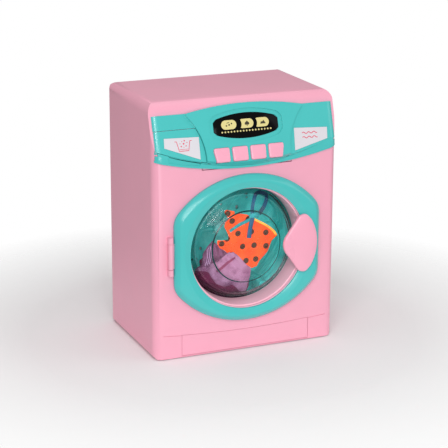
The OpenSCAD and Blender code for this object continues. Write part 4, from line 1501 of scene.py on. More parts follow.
    def window(self) -> bpy.types.Object:
        """Builds the clear domed window with its flat disc and flange.

        Returns:
            The window, which lets the lamps into the drum.
        """
        bm = bmesh.new()
        disc = self.disc
        outside = [(0, -57.0), (disc - 0.3, -57.0), (disc + 0.35, -56.75), (disc + 0.9, -56.1)]
        outside += [(disc + 1.5, -55.9), (disc + 2.4, -55.75), (39.7, -54.4), (42.5, -52.6)]
        outside += [(45.5, -50.6), (47.9, -48.7), (48.4, -48.7), (48.9, -48.3), (49.3, -47.5)]
        outside += [(50.4, -46.5), (52.2, -44.4), (53.6, -42.2)]
        outside += [(54.3, -40.4), (54.8, -39.95), (57.6, -39.9), (57.6, -38.4)]
        inside = [(52.9, -38.4), (52.2, -40.4), (50.9, -43.2), (49.1, -45.4), (46.8, -47.4)]
        inside += [(44.4, -49.3), (41.6, -51.1), (38.4, -53.0), (disc + 1.0, -54.5)]
        inside += [(disc - 0.3, -54.7), (disc - 1.0, -55.2), (disc - 1.5, -55.4), (0, -55.4)]
        revolve(bm, outside + inside, 200)
        face_outwards(bm)
        for face in bm.faces:
            spot = face.calc_center_median()
            face.material_index = self.wall_part(math.hypot(spot.x, spot.z - DOOR_Z), spot.y)
        window = new_object("door_window_shell", bm, 50.0)
        window.visible_shadow = False
        return window

    def wall_part(self, radius: float, depth: float) -> WallPart:
        """Tells which part of the window's wall a spot belongs to.

        Args:
            radius: Distance from the axis.
            depth: Its Y.

        Returns:
            The part; the disc and the whole inside are clear.
        """
        step = self.disc + 0.4
        if depth < self.step_depth and abs(radius - step) < 0.75:
            return WallPart.STEP
        half_wall = 0.7
        if radius <= step or depth > window_depth(radius) - half_wall:
            return WallPart.CLEAR
        flank_end, rim_end = self.rim
        if radius < flank_end:
            return WallPart.FLANK
        return WallPart.RIM if radius < rim_end else WallPart.ROOT

    def pieces(self) -> Iterator[Dressed]:
        """Yields the door's pieces; handle and hinge are moulded with the liner."""
        yield self.ring(), TRIM_TEAL, "door", "trim_teal", ["door_ring"]
        yield self.liner(), LINER_PINK_PAINTED_LIGHT, "door", "key_pink", ["door_liner"]
        yield self.barrel(), BODY_PINK, "door", "cabinet_pink", ["door_liner"]
        yield self.handle(), KEY_PINK, "door", "key_pink", ["door_liner"]
        yield self.root(), KEY_PINK, "door", "key_pink", ["door_liner"]
        glass = [WALL_FINISHES[part] for part in WallPart]
        yield self.window(), glass, "door", "window_clear", ["door_window"]


# ---------------------------------------------------------------- panel


@dataclass
class KeyRow(Assembly):
    """The four keys of the control panel.

    Attributes:
        pitch: Spacing of the keys.
        width: Width of a key.
        height: Height of a key.
        up: Height of their middle up the panel.
        foot: Underside of the caps, out of the panel.
        top: Where the crown of the caps starts.
        corner: Radius of their corners.
    """

    pitch: float = 18.2
    width: float = 15.5
    height: float = 13.4
    up: float = 10.3
    foot: float = -3.2
    top: float = 2.5
    corner: float = 1.9

    def cap(self, index: int) -> bpy.types.Object:
        """Builds one key cap with its flange; the outer keys lean in at the bottom.

        Args:
            index: Place of the key from the left, from 0.

        Returns:
            The key.
        """
        side = -1 if index < 2 else 1
        lean = 2.0 if index in (0, 3) else 0.4
        middle = (index - 1.5) * self.pitch
        half, tall = self.width / 2, self.height / 2
        outline = [
            (-side * half, tall, self.corner),
            (-side * half, -tall, self.corner),
            (side * (half - lean), -tall, self.corner),
            (side * half, tall * 0.45, 0.0),
            (side * half, tall, self.corner),
        ]
        if side > 0:
            outline.reverse()
        bm = bmesh.new()
        crown = Crown(((0.14, 0.42), (0.26, 0.3), (0.4, 0.2), (0.5, 0.1)), 0.28)
        crowned_plate(bm, outline, self.top - self.foot, crown)
        move_all(bm, lambda p: p + Vector((0, 0, self.foot)))
        add_box(bm, (-half - 0.8, -6.3, self.foot), (half + 0.8, 7.3, -1.5), 0.2)
        move_all(bm, lambda p: on_panel(middle + p.x, self.up + p.y, p.z))
        face_outwards(bm)
        return new_object(f"key_{index + 1}_cap", bm, 60.0)

    def pieces(self) -> Iterator[Dressed]:
        """Yields the four keys."""
        for index in range(4):
            node = f"key_{index + 1}"
            yield self.cap(index), KEY_PINK, node, "key_pink", [node]


def flat_print(
    name: str, outlines: Sequence[Sequence[tuple[float, float]]], base: float, height: float
) -> bpy.types.Object:
    """Builds flat shapes of ink or film that lie on the panel.

    Args:
        name: Name of the piece.
        outlines: Corners of each shape, across and up the panel.
        base: Underside, out of the panel.
        height: Thickness.

    Returns:
        The piece.
    """
    bm = bmesh.new()
    for outline in outlines:
        crowned_plate(bm, [(x, v, 0.0) for x, v in outline], height, Crown(()))
    move_all(bm, lambda p: on_panel(p.x, p.y, p.z + base))
    face_outwards(bm)
    return new_object(name, bm)


def stroke(points: Sequence[tuple[float, float]], width: float) -> list[tuple[float, float]]:
    """Turns a line into a band's outline.

    Args:
        points: Line across and up the panel.
        width: Width of the band.

    Returns:
        The outline.
    """
    left, right = [], []
    for index, (x, v) in enumerate(points):
        ahead = points[min(index + 1, len(points) - 1)]
        behind = points[max(index - 1, 0)]
        heading = Vector((ahead[0] - behind[0], ahead[1] - behind[1])).normalized()
        across = Vector((-heading.y, heading.x)) * width / 2
        left.append((x + across.x, v + across.y))
        right.append((x - across.x, v - across.y))
    return left + right[::-1]


def dot(x: float, v: float, radius: float, steps: int = 20) -> list[tuple[float, float]]:
    """Outline of a round dot.

    Args:
        x: Its middle, across the panel.
        v: Its middle, up the panel.
        radius: Its radius.
        steps: Corners.

    Returns:
        The outline.
    """
    turns = [i / steps * math.tau for i in range(steps)]
    return [(x + radius * math.cos(a), v + radius * math.sin(a)) for a in turns]


@dataclass
class Display(Assembly):
    """Black domed display with lit icons and their dark pictures.

    Attributes:
        up: Height of its middle up the panel.
        half_width: Half of its width.
        half_height: Half of its height.
        arc: Radius of its arched top and bottom.
        icon_up: Height of the icons' middles up the panel.
        icon_top: Top of the icons, out of the panel.
    """

    up: float = 36.0
    half_width: float = 32.5
    half_height: float = 11.8
    arc: float = 99.0
    icon_up: float = 37.6
    icon_top: float = 1.55

    def lens(self) -> bpy.types.Object:
        """Builds the lens, slightly domed, with cut corners.

        Returns:
            The lens.
        """
        wide, tall, steps = self.half_width, self.half_height, 12
        drop = self.arc - tall
        edge = math.asin((wide - 0.3 * tall) / self.arc) * 0.985
        turns = [edge - 2 * edge * i / steps for i in range(steps + 1)]
        top = [(self.arc * math.sin(a), self.arc * math.cos(a) - drop) for a in turns]
        upper = top + [(-wide, 0.36 * tall), (-wide, -0.36 * tall)]
        outline = upper + [(-x, -y) for x, y in upper]
        bm = bmesh.new()
        crowned_plate(bm, [(x, y, 0.0) for x, y in outline], 1.1, Crown(((0.1, 0.2), (0.2, 0.08))))
        move_all(bm, lambda p: on_panel(p.x, self.up + p.y, p.z - 0.1))
        face_outwards(bm)
        return new_object("display_lens_shell", bm)

    def pictures(self) -> bpy.types.Object:
        """Builds the dark pictures on the icons: bubbles, a drop and a hill.

        Returns:
            The pictures.
        """
        up = self.icon_up
        shapes = [dot(-19.6, up - 0.8, 0.75), dot(-16.9, up - 0.1, 0.85), dot(-14.4, up + 1.0, 0.7)]
        shapes += [stroke([(-19.2, up + 1.6), (-16.6, up + 2.3)], 0.5)]
        leaf = [(0.3, 2.4), (2.3, 0.6), (2.6, -0.6), (1.4, -1.6), (0.6, -1.2), (0.5, -2.6)]
        leaf += [(-0.1, -2.6), (-0.2, -1.2), (-1.0, -1.6), (-2.2, -0.6), (-1.8, 0.6)]
        shapes += [[(x + 0.8, y + up) for x, y in leaf]]
        hill = [(-2.8, -1.6), (-1.6, 0.9), (-0.7, -0.1), (0.8, 1.8), (2.9, -1.6)]
        shapes += [[(x + 17.0, y + up) for x, y in reversed(hill)]]
        return flat_print("display_pictures", shapes, self.icon_top - 0.02, 0.08)

    def pieces(self) -> Iterator[Dressed]:
        """Yields the lens and the pictures."""
        yield self.lens(), DISPLAY_BLACK, "cabinet", "display_black", ["display_lens"]
        yield self.pictures(), ICON_INK, "cabinet", "display_black", []


@dataclass
class Labels(Assembly):
    """Red prints on the two pale labels: a wash tub on the left and waves on the right.

    Attributes:
        line: Width of the drawn lines.
        base: Top of the labels, out of the panel.
    """

    line: float = 0.62
    base: float = 0.13

    def tub(self) -> bpy.types.Object:
        """Builds the wash tub with bubbles over it.

        Returns:
            The print.
        """
        rim, foot = (26.6, 17.7), (6.5, 4.6)
        middle = -63.1
        left = [(middle - 8.4, rim[0]), (middle - foot[0], rim[0]), (middle - foot[1], rim[1])]
        right = [(2 * middle - x, v) for x, v in reversed(left)]
        wall = left + right
        shapes = [stroke([a, b], self.line) for a, b in zip(wall, wall[1:])]
        shapes += [stroke([(middle - 4.2, 19.2), (middle + 4.2, 19.2)], self.line * 0.7)]
        large = ((-2.3, 22.0, 0.7), (0.2, 24.3, 0.8), (2.4, 22.2, 0.6), (1.2, 27.0, 0.7))
        small = ((-1.4, 26.4, 0.45), (3.6, 25.2, 0.5), (-3.3, 24.6, 0.45), (0.2, 21.0, 0.4))
        for bubbles, steps in ((large, 14), (small, 12)):
            shapes += [dot(middle + x, v, radius, steps) for x, v, radius in bubbles]
        return flat_print("drawer_print", shapes, self.base, 0.07)

    def waves(self) -> bpy.types.Object:
        """Builds two rows of waves.

        Returns:
            The print.
        """
        start, length, height, pitch = 56.4, 16, 0.75, 5.4
        shapes = []
        for up in (23.7, 19.5):
            steps = [i / 2 for i in range(2 * length)]
            wave = [(start + x, up + height * math.sin(x * math.tau / pitch)) for x in steps]
            shapes.append(stroke(wave, self.line * 1.2))
        return flat_print("panel_print", shapes, self.base, 0.07)

    def pieces(self) -> Iterator[Dressed]:
        """Yields the two prints."""
        yield self.tub(), LABEL_INK, "drawer", "label_white", []
        yield self.waves(), LABEL_INK, "cabinet", "label_white", []


@dataclass
class PanelTrim(Assembly):
    """Two small faces behind the panel's gaps.

    Attributes:
        slit: Outline of the finger gap under the drawer front, across and up the panel.
        opening: Half width and lowest height of the opening behind the console.
    """

    slit: Line = (
        (-78.0, 16.0),
        (-47.3, 8.0),
        (-47.3, 5.6),
        (-50.0, 6.1),
        (-60.0, 8.4),
        (-70.0, 11.1),
        (-78.0, 13.6),
    )
    opening: tuple[float, float] = (45.4, 180.6)

    def flange(self) -> bpy.types.Object:
        """Builds the flange that closes the finger gap, on the back of the drawer front.

        Returns:
            The flange.
        """
        bm = bmesh.new()
        thickness, depth = 0.7, 2.5
        crowned_plate(bm, [(x, v, 0.0) for x, v in self.slit], thickness, Crown(()))
        move_all(bm, lambda p: on_panel(p.x, p.y, p.z - depth))
        face_outwards(bm)
        return new_object("drawer_flange", bm)

    def sill(self) -> bpy.types.Object:
        """Builds the sill that closes the cabinet front under the console.

        Returns:
            The sill.
        """
        half, low = self.opening
        thickness, height = 1.6, 3.6
        bm = bmesh.new()
        front = (-half, CABINET_FRONT, low)
        add_box(bm, front, (half, CABINET_FRONT + thickness, low + height), 0.05)
        face_outwards(bm)
        return new_object("front_sill", bm)

    def pieces(self) -> Iterator[Dressed]:
        """Yields the flange and the sill."""
        yield self.flange(), TRIM_TEAL, "drawer", "trim_teal", []
        yield self.sill(), BODY_PINK, "cabinet", "cabinet_pink", []


# ---------------------------------------------------------------- laundry


class Held(Enum):
    """How a piece of cloth is held."""

    DRAPED = "draped"
    GATHERED = "gathered"
    FOLDED = "folded"


@dataclass(frozen=True)
class Fold:
    """Creases that fan out from a gathered point.

    Attributes:
        hub: Where the creases meet, across and up.
        count: Creases in a full turn.
        depth: How deep they go, in millimetres.
        crumple: Depth of the irregular crumples.
        crumple_mm: Size of the crumples.
    """

    hub: tuple[float, float]
    count: float
    depth: float
    crumple: float = 1.0
    crumple_mm: float = 9.0

    def at(self, spot: Vector, seed: float) -> float:
        """Depth of the cloth behind its foremost place.

        Args:
            spot: Place across and up.
            seed: Sets one piece's crumples apart from another's.

        Returns:
            The depth, never below zero.
        """
        reach = spot - Vector(self.hub)
        turn = math.atan2(reach.y, reach.x)
        fade = min(reach.length / 14.0, 1.0)
        wander = soft_noise.noise(Vector((spot.x / 16, spot.y / 16, seed)))
        crease = 0.5 + 0.5 * math.sin(turn * self.count + 2.6 * wander + seed)
        crumple = soft_noise.noise(
            Vector((spot.x / self.crumple_mm, spot.y / self.crumple_mm, seed + 5))
        )
        return self.depth * fade * crease**1.6 + self.crumple * (0.5 + 0.5 * crumple)


@dataclass(frozen=True)
class Cut:
    """Piece of cloth between four sides, as it lies against the window.

    Attributes:
        name: Name of the piece.
        top: Its top side from left to right, across and up from the door's axis.
        bottom: Its bottom side from left to right.
        left: Its left side from bottom to top.
        right: Its right side from bottom to top.
        folds: Its creases.
        drawn: Depth (Y) at which the sides were drawn.
        lift: Room between its front and the window.
        seed: Sets its crumples apart.
        grid: Faces each way.
    """

    name: str
    top: Line
    bottom: Line
    left: Line
    right: Line
    folds: Fold
    drawn: float
    lift: float = 0.8
    seed: float = 0.0
    grid: int = 56

    def spot(self, u: float, v: float) -> Vector:
        """Blends the four sides.

        Args:
            u: Share from left to right.
            v: Share from bottom to top.

        Returns:
            The place across and up.
        """
        sides = along(self.bottom, u) * (1 - v) + along(self.top, u) * v
        sides += along(self.left, v) * (1 - u) + along(self.right, v) * u
        corners = along(self.bottom, 0) * (1 - u) * (1 - v) + along(self.bottom, 1) * u * (1 - v)
        corners += along(self.top, 0) * (1 - u) * v + along(self.top, 1) * u * v
        return sides - corners

    def rest(self, spot: Vector) -> Vector:
        """Lays a place against the window, or in the drum's front where it lies outside the window.

        Args:
            spot: Place across and up, as drawn.

        Returns:
            The point, in millimetres.
        """
        behind = self.lift + self.folds.at(spot, self.seed)
        depth, tries = self.drawn, 12
        for _ in range(tries):
            x = spot.x + SIGHT_ACROSS * (depth - self.drawn)
            up = spot.y + SIGHT_UP * (depth - self.drawn)
            band = LINER_DEPTH - LINER_SLOPE * (x - LINER_LEFT)
            wall = max(window_depth(math.hypot(x, up)), band)
            depth += 0.5 * (wall + behind - depth)
        return Vector((x, depth, DOOR_Z + up))

    def build(self, thickness: float = 0.32) -> bpy.types.Object:
        """Builds the cloth with its threads' coordinates in millimetres.

        Args:
            thickness: Thickness of the cloth.

        Returns:
            The piece, its cut size kept as width_mm, length_mm and area_mm2.
        """
        bm = bmesh.new()
        grid = {"x_segments": self.grid, "y_segments": self.grid}
        bmesh.ops.create_grid(bm, size=0.5, calc_uvs=False, **grid)
        layer = bm.loops.layers.uv.new("cut_mm")
        flat = {vert: self.spot(vert.co.x + 0.5, vert.co.y + 0.5) for vert in bm.verts}
        for face in bm.faces:
            for loop in face.loops:
                loop[layer].uv = flat[loop.vert]
        for vert, spot in flat.items():
            vert.co = self.rest(spot)
        bm.normal_update()
        area = sum(face.calc_area() for face in bm.faces)
        across = [spot.x for spot in flat.values()]
        upwards = [spot.y for spot in flat.values()]
        obj = new_object(self.name, bm, CLOTH_SMOOTH)
        obj["area_mm2"] = area
        obj["width_mm"] = max(across) - min(across) + TURNED_EDGES
        obj["length_mm"] = max(upwards) - min(upwards) + TURNED_EDGES
        thicken(obj, thickness)
        return obj


def declare(
    obj: bpy.types.Object,
    held: Held,
    rests_on: str,
    carried: Sequence[bpy.types.Object] = (),
) -> None:
    """Works out the cut area of a piece of cloth from its size, and keeps nothing of it.

    Args:
        obj: The piece.
        held: How it is held. Not used.
        rests_on: What it rests on. Not used.
        carried: Pieces sewn or tied on it.
    """
    width, length, area = obj["width_mm"], obj["length_mm"], obj["area_mm2"]
    stretch = max(1.0, math.sqrt(area / (width * length)))
    min(area, width * length * stretch**2) * MM * MM
    list(carried)


@dataclass(frozen=True)
class Strip:
    """Narrow band of ribbon or tape along a line.

    Attributes:
        name: Name of the piece.
        line: X, height above the axis and depth (Y) of its middle, in order.
        width: Its width.
        twist: Turn of the band about its line from start to end, in degrees.
        thickness: Its thickness.
        tilt: Turn of the band at its start, in degrees.
    """

    name: str
    line: Sequence[tuple[float, float, float]]
    width: float
    twist: float = 0.0
    thickness: float = 0.25
    tilt: float = 0.0

    def build(self) -> bpy.types.Object:
        """Builds the band.

        Returns:
            The band.
        """
        bm = bmesh.new()
        bmesh.ops.create_grid(bm, x_segments=60, y_segments=4, size=0.5, calc_uvs=False)
        layer = bm.loops.layers.uv.new("cut_mm")
        length = sum(math.dist(a, b) for a, b in zip(self.line, self.line[1:]))
        for face in bm.faces:
            for loop in face.loops:
                spot = loop.vert.co
                loop[layer].uv = ((spot.x + 0.5) * length, spot.y * self.width)
        move_all(bm, self.place)
        bm.normal_update()
        obj = new_object(self.name, bm, CLOTH_SMOOTH)
        thicken(obj, self.thickness)
        return obj

    def place(self, spot: Vector) -> Vector:
        """Place of a point of the flat band.

        Args:
            spot: Its share along and across the band, each from -0.5 to 0.5.

        Returns:
            The point, in millimetres.
        """
        share = spot.x + 0.5
        middle = smooth_along(self.line, share)
        near = 0.01  # share of the line over which its heading is taken
        ahead = smooth_along(self.line, min(share + near, 1.0))
        ahead -= smooth_along(self.line, max(share - near, 0.0))
        flat = Vector((-ahead.y, ahead.x, 0.0)).normalized()
        turn = Matrix.Rotation(math.radians(self.tilt + self.twist * share), 3, ahead.normalized())
        x, up, depth = middle + turn @ flat * spot.y * self.width
        return Vector((x, depth, DOOR_Z + up))


def smooth_along(line: Sequence[tuple[float, float, float]], share: float) -> Vector:
    """Point of the smooth curve through a line's corners.

    Args:
        line: The corners.
        share: Share of the way, from 0 to 1.

    Returns:
        The point.
    """
    corners = [Vector(corner) for corner in line]
    place = share * (len(corners) - 1)
    index = min(int(place), len(corners) - 2)
    t = place - index
    a = corners[max(index - 1, 0)]
    b, c = corners[index], corners[index + 1]
    d = corners[min(index + 2, len(corners) - 1)]
    bend = 2 * b + (c - a) * t + (2 * a - 5 * b + 4 * c - d) * t**2
    return 0.5 * (bend + (3 * b - a - 3 * c + d) * t**3)


@dataclass
class DollDress:
    """Dotted cotton dress that lies against the window, with its satin bow.

    Attributes:
        drawn: Depth (Y) at which its sides were drawn.
        folds: Creases of the front.
        front: Cut of the front.
        back: Cut of the back, which hangs behind the front.
        sleeves: Cuts of the two sleeves.
        bow: Bands of the bow, each with its cloth: two loops, two tails and the knot.
    """

    drawn: float = -52.0
    folds: Fold = Fold((8.0, 34.0), 9.0, 1.3, 0.9, 12.0)
    front: Cut = Cut(
        "dress_front",
        (
            (-19.6, 27.0), (-12.6, 30.2), (-6.4, 32.1), (2.5, 29.8), (6.6, 27.1),
            (15.0, 22.3), (23.4, 17.4), (31.9, 9.8), (33.6, 6.2),
        ),
        ((-17.8, -4.9), (-12.4, -4.2), (-5.4, -10.4), (1.5, -18.6), (7.1, -23.3)),
        ((-17.8, -4.9), (-17.5, 5.0), (-16.6, 12.1), (-20.7, 20.4), (-19.6, 27.0)),
        (
            (7.1, -23.3), (12.7, -21.9), (16.8, -14.4), (22.3, -8.4), (24.3, -1.3),
            (29.2, 2.8), (33.6, 6.2),
        ),
        folds,
        drawn,
        lift=1.15,
    )
    back: Cut = Cut(
        "dress_back",
        (
            (-17.0, 24.0), (-10.0, 29.0), (-4.0, 30.5), (5.0, 26.5), (14.0, 21.0),
            (24.0, 15.5), (31.0, 7.0),
        ),
        ((-15.0, -6.0), (-11.0, -5.0), (-4.0, -12.0), (2.5, -21.0), (8.5, -21.5)),
        ((-15.0, -6.0), (-15.5, 6.0), (-17.0, 24.0)),
        ((8.5, -21.5), (15.0, -17.5), (24.0, -9.0), (27.5, 0.0), (31.0, 7.0)),
        Fold((8.0, 34.0), 12.0, 3.0, 2.0, 12.0),
        drawn,
        lift=4.0,
        seed=3.0,
        grid=40,
    )
    sleeves: tuple[Cut, Cut] = (
        Cut(
            "dress_sleeve_upper",
            ((-20.8, 34.6), (-19.4, 36.8), (-11.0, 34.6)),
            ((-17.0, 28.6), (-13.6, 30.2), (-10.6, 31.2)),
            ((-17.0, 28.6), (-19.4, 31.2), (-20.8, 34.6)),
            ((-10.6, 31.2), (-10.2, 32.8), (-11.0, 34.6)),
            Fold((-14.0, 30.0), 12.0, 1.0, 1.2, 5.0),
            drawn,
            lift=1.6,
            seed=1.0,
            grid=24,
        ),
        Cut(
            "dress_sleeve_lower",
            ((-27.6, 8.3), (-24.0, 7.4), (-19.3, 7.4), (-15.4, 8.4)),
            ((-25.2, 0.2), (-21.0, -2.2), (-17.8, -5.2), (-12.6, -4.4)),
            ((-25.2, 0.2), (-28.2, 4.6), (-27.6, 8.3)),
            ((-12.6, -4.4), (-12.8, 2.0), (-15.4, 8.4)),
            Fold((-13.0, 2.0), 16.0, 1.5, 0.8, 6.0),
            drawn,
            lift=0.7,
            seed=2.0,
            grid=32,
        ),
    )
    bow: tuple[tuple[Strip, Cloth], ...] = (
        (
            Strip(
                "ribbon_loop_left",
                (
                    (6.6, 30.6, -54.3), (7.6, 36.6, -52.4), (10.6, 42.6, -48.8),
                    (14.4, 47.0, -45.2), (20.5, 46.8, -41.8), (27.6, 43.6, -40.4),
                ),
                width=3.6,
                twist=24.0,
            ),
            RIBBON_BLUE,
        ),
        (
            Strip(
                "ribbon_loop_right",
                (
                    (26.8, 44.4, -40.6), (25.0, 40.4, -45.2), (20.6, 35.4, -49.6),
                    (14.0, 29.6, -53.6),
                ),
                width=3.8,
                twist=-26.0,
            ),
            RIBBON_BLUE,
        ),
        # this tail and the knot are the same blue satin, painted with its highlight
        (
            Strip(
                "ribbon_tail_painted_highlight",
                (
                    (7.6, 27.4, -54.9), (1.0, 24.6, -54.9), (-7.0, 21.6, -54.9),
                    (-16.4, 16.4, -54.6),
                ),
                width=3.3,
                twist=14.0,
            ),
            RIBBON_HIGHLIGHT,
        ),
        (
            Strip(
                "ribbon_tail_deep",
                ((6.8, 27.0, -55.0), (5.2, 21.0, -54.9), (4.0, 14.6, -54.9), (3.2, 7.6, -54.7)),
                width=4.3,
                twist=-10.0,
            ),
            RIBBON_BLUE,
        ),
        (
            Strip(
                "ribbon_knot",
                ((4.4, 27.2, -54.3), (7.4, 29.2, -54.8), (11.0, 29.8, -54.7), (13.6, 28.2, -54.0)),
                width=4.6,
                twist=16.0,
                thickness=0.5,
            ),
            RIBBON_HIGHLIGHT,
        ),
    )

    def highlight_rim(self) -> Strip:
        """Lays a pale strip along the upper right edge: a painted highlight on the cloth's rim.

        Returns:
            The strip.
        """
        cut = self.front
        line = []
        for share in (0.42, 0.5, 0.6, 0.7, 0.8, 0.9, 0.985):
            point = cut.rest(cut.spot(share, 0.985))
            line.append((point.x, point.z - DOOR_Z, point.y - 0.35))
        return Strip("dress_highlight_rim", line, width=2.0)

    def build(self, finisher: Finisher) -> None:
        """Builds and dresses the dress and its bow.

        Args:
            finisher: Gives each piece its material and body.
        """
        bow = [
            finisher.dress(strip.build(), finish, "drum", "ribbon_blue", ["dress_ribbon"])
            for strip, finish in self.bow
        ]
        cotton = ("drum", "cloth_orange", ["dress"])
        highlight_rim = finisher.dress(self.highlight_rim().build(), HIGHLIGHT_RIM_COTTON, *cotton)
        front = finisher.dress(self.front.build(), DRESS_COTTON, *cotton)
        declare(front, Held.DRAPED, "door_window_shell", bow + [highlight_rim])
        for cut in (*self.sleeves, self.back):
            piece = finisher.dress(cut.build(), DRESS_COTTON, *cotton)
            declare(piece, Held.DRAPED, "dress_front")


@dataclass
class DollSkirt:
    """Organza skirt over a satin lining, heaped in the bottom of the drum.

    Attributes:
        drawn: Depth (Y) at which its sides were drawn.
        creases: Creases of the outer layer.
        gauze: Cut of the outer layer.
        lining: Cut of the satin lining under it.
        waist: Cut of the gathered waist at the upper left.
        fold_shade: Cut of a dark strip laid across the outer layer as painted shade beside its
            fold.
        heap: Cut of the rest of the cloth, crumpled behind in the drum.
    """

    drawn: float = -46.0
    creases: Fold = Fold((-32.0, 6.0), 15.0, 1.7, 3.0, 11.0)
    gauze: Cut = Cut(
        "skirt_gauze",
        (
            (-48.8, -19.4), (-41.0, -18.6), (-35.8, -18.4), (-22.1, -12.4), (-14.0, -7.2),
            (-8.4, -7.6),
        ),
        (
            (-48.4, -21.5), (-40.0, -22.2), (-33.9, -24.0), (-30.5, -30.5), (-26.0, -36.5),
            (-18.5, -40.2), (-10.0, -39.2), (-6.0, -42.5), (-2.0, -47.8), (3.2, -51.0),
        ),
        ((-48.4, -21.5), (-48.8, -19.4)),
        ((3.2, -51.0), (5.8, -41.7), (8.6, -32.6), (9.4, -26.0), (2.8, -18.0), (-8.4, -7.6)),
        creases,
        drawn,
        lift=0.7,
        seed=1.3,
        grid=72,
    )
    lining: Cut = Cut(
        "skirt_lining",
        ((-48.8, -20.5), (-35.0, -20.5), (-22.0, -14.5), (-10.0, -10.0), (4.0, -22.0)),
        (
            (-47.6, -30.6), (-41.4, -39.9), (-32.8, -46.6), (-19.0, -52.2), (-8.2, -54.4),
            (3.2, -55.4),
        ),
        ((-47.6, -30.6), (-48.6, -24.0), (-48.8, -20.5)),
        ((3.2, -55.4), (7.0, -42.7), (8.0, -32.0), (4.0, -22.0)),
        Fold((-20.0, -4.0), 9.0, 1.0, 1.0, 14.0),
        drawn,
        lift=4.4,
        seed=2.2,
        grid=64,
    )
    waist: Cut = Cut(
        "skirt_waist",
        ((-39.9, -5.3), (-35.8, 0.8), (-30.4, 6.5), (-26.3, 2.6), (-22.1, -1.4), (-16.6, -6.4)),
        ((-47.5, -19.6), (-35.8, -19.6), (-22.1, -13.6), (-10.5, -8.6)),
        ((-47.5, -19.6), (-40.5, -14.7), (-39.9, -5.3)),
        ((-10.5, -8.6), (-16.6, -6.4)),
        Fold((-30.0, 22.0), 34.0, 1.4, 2.6, 6.0),
        drawn,
        lift=1.8,
        seed=4.1,
        grid=56,
    )
    # dark satin strip on the gauze: painted shade beside the fold that crosses it
    fold_shade: Cut = Cut(
        "skirt_fold_shade",
        ((-26.4, -23.4), (-21.0, -20.0), (-15.4, -15.8), (-7.0, -11.8)),
        ((-25.6, -25.6), (-20.0, -22.6), (-14.6, -18.6), (-6.6, -13.4)),
        ((-25.6, -25.6), (-26.4, -23.4)),
        ((-6.6, -13.4), (-7.0, -11.8)),
        creases,
        drawn,
        lift=0.42,
        seed=1.3,
        grid=40,
    )
    heap: Cut = Cut(
        "skirt_heap",
        ((-44.0, -12.0), (-30.0, 0.0), (-16.0, -8.0), (2.0, -24.0)),
        ((-44.0, -34.0), (-30.0, -46.0), (-12.0, -54.0), (6.0, -50.0)),
        ((-44.0, -34.0), (-44.0, -12.0)),
        ((6.0, -50.0), (2.0, -24.0)),
        Fold((-20.0, -20.0), 11.0, 7.0, 6.0, 10.0),
        drawn,
        lift=8.0,
        seed=6.2,
        grid=56,
    )

    def elastic(self) -> list[Strip]:
        """Lays the pale elastic threads across the waist.

        Returns:
            The threads.
        """
        lines = []
        cut = self.waist
        for index, share in enumerate((0.2, 0.27, 0.34)):
            line = []
            for up in (0.15, 0.35, 0.55, 0.75, 0.92):
                point = cut.rest(cut.spot(share + 0.01 * math.sin(9 * up + index), up))
                line.append((point.x, point.z - DOOR_Z, point.y - 0.5))
            lines.append(Strip(f"skirt_elastic_{index + 1}", line, width=0.7, thickness=0.3))
        return lines

    def build(self, finisher: Finisher) -> None:
        """Builds and dresses the skirt.

        Args:
            finisher: Gives each piece its material and body.
        """
        place = ("drum", "organza_purple", ["skirt"])
        elastic = [finisher.dress(strip.build(), ELASTIC, *place) for strip in self.elastic()]
        fold_shade = finisher.dress(self.fold_shade.build(), ORGANZA_DEEP, *place)
        plan = (
            (self.gauze, ORGANZA_LIGHT, Held.GATHERED, "door_window_shell", [fold_shade]),
            (self.waist, ORGANZA_DARK, Held.GATHERED, "skirt_heap", elastic),
            (self.lining, ORGANZA_DEEP, Held.FOLDED, "drum_skin", []),
            (self.heap, ORGANZA_DEEP, Held.FOLDED, "drum_skin", []),
        )
        for cut, finish, held, rests_on, carried in plan:
            piece = finisher.dress(cut.build(), finish, *place)
            declare(piece, held, rests_on, carried)


# ---------------------------------------------------------------- studio


@dataclass(frozen=True)
class Backing:
    """Pale floor that keeps the shadow near the machine and fades out further off.

    Attributes:
        name: Material name.
        colour: Colour that lights and shadows work on.
        near_mm: Distance up to which it is solid.
        far_mm: Distance from which only the white surroundings show.
    """

    name: str = "seamless_paper"
    colour: str = "#FAFAFA"
    near_mm: float = 190.0
    far_mm: float = 380.0

    def build(self) -> bpy.types.Material:
        """Builds the material.

        Returns:
            The material.
        """
        material, shader, where = new_material(self.name)
        tree = material.node_tree
        reach = add_node(tree, "ShaderNodeVectorMath", {0: where}, operation="LENGTH")
        cover = add_node(
            tree,
            "ShaderNodeMapRange",
            {
                "Value": reach.outputs["Value"],
                "From Min": self.near_mm * MM,
                "From Max": self.far_mm * MM,
                "To Min": 1.0,
                "To Max": 0.0,
            },
        )
        look = {
            "Alpha": cover.outputs[0],
            "Base Color": linear(self.colour),
            "Roughness": 0.9,
            "Specular IOR Level": 0.1,
        }
        feed(shader, look)
        return material


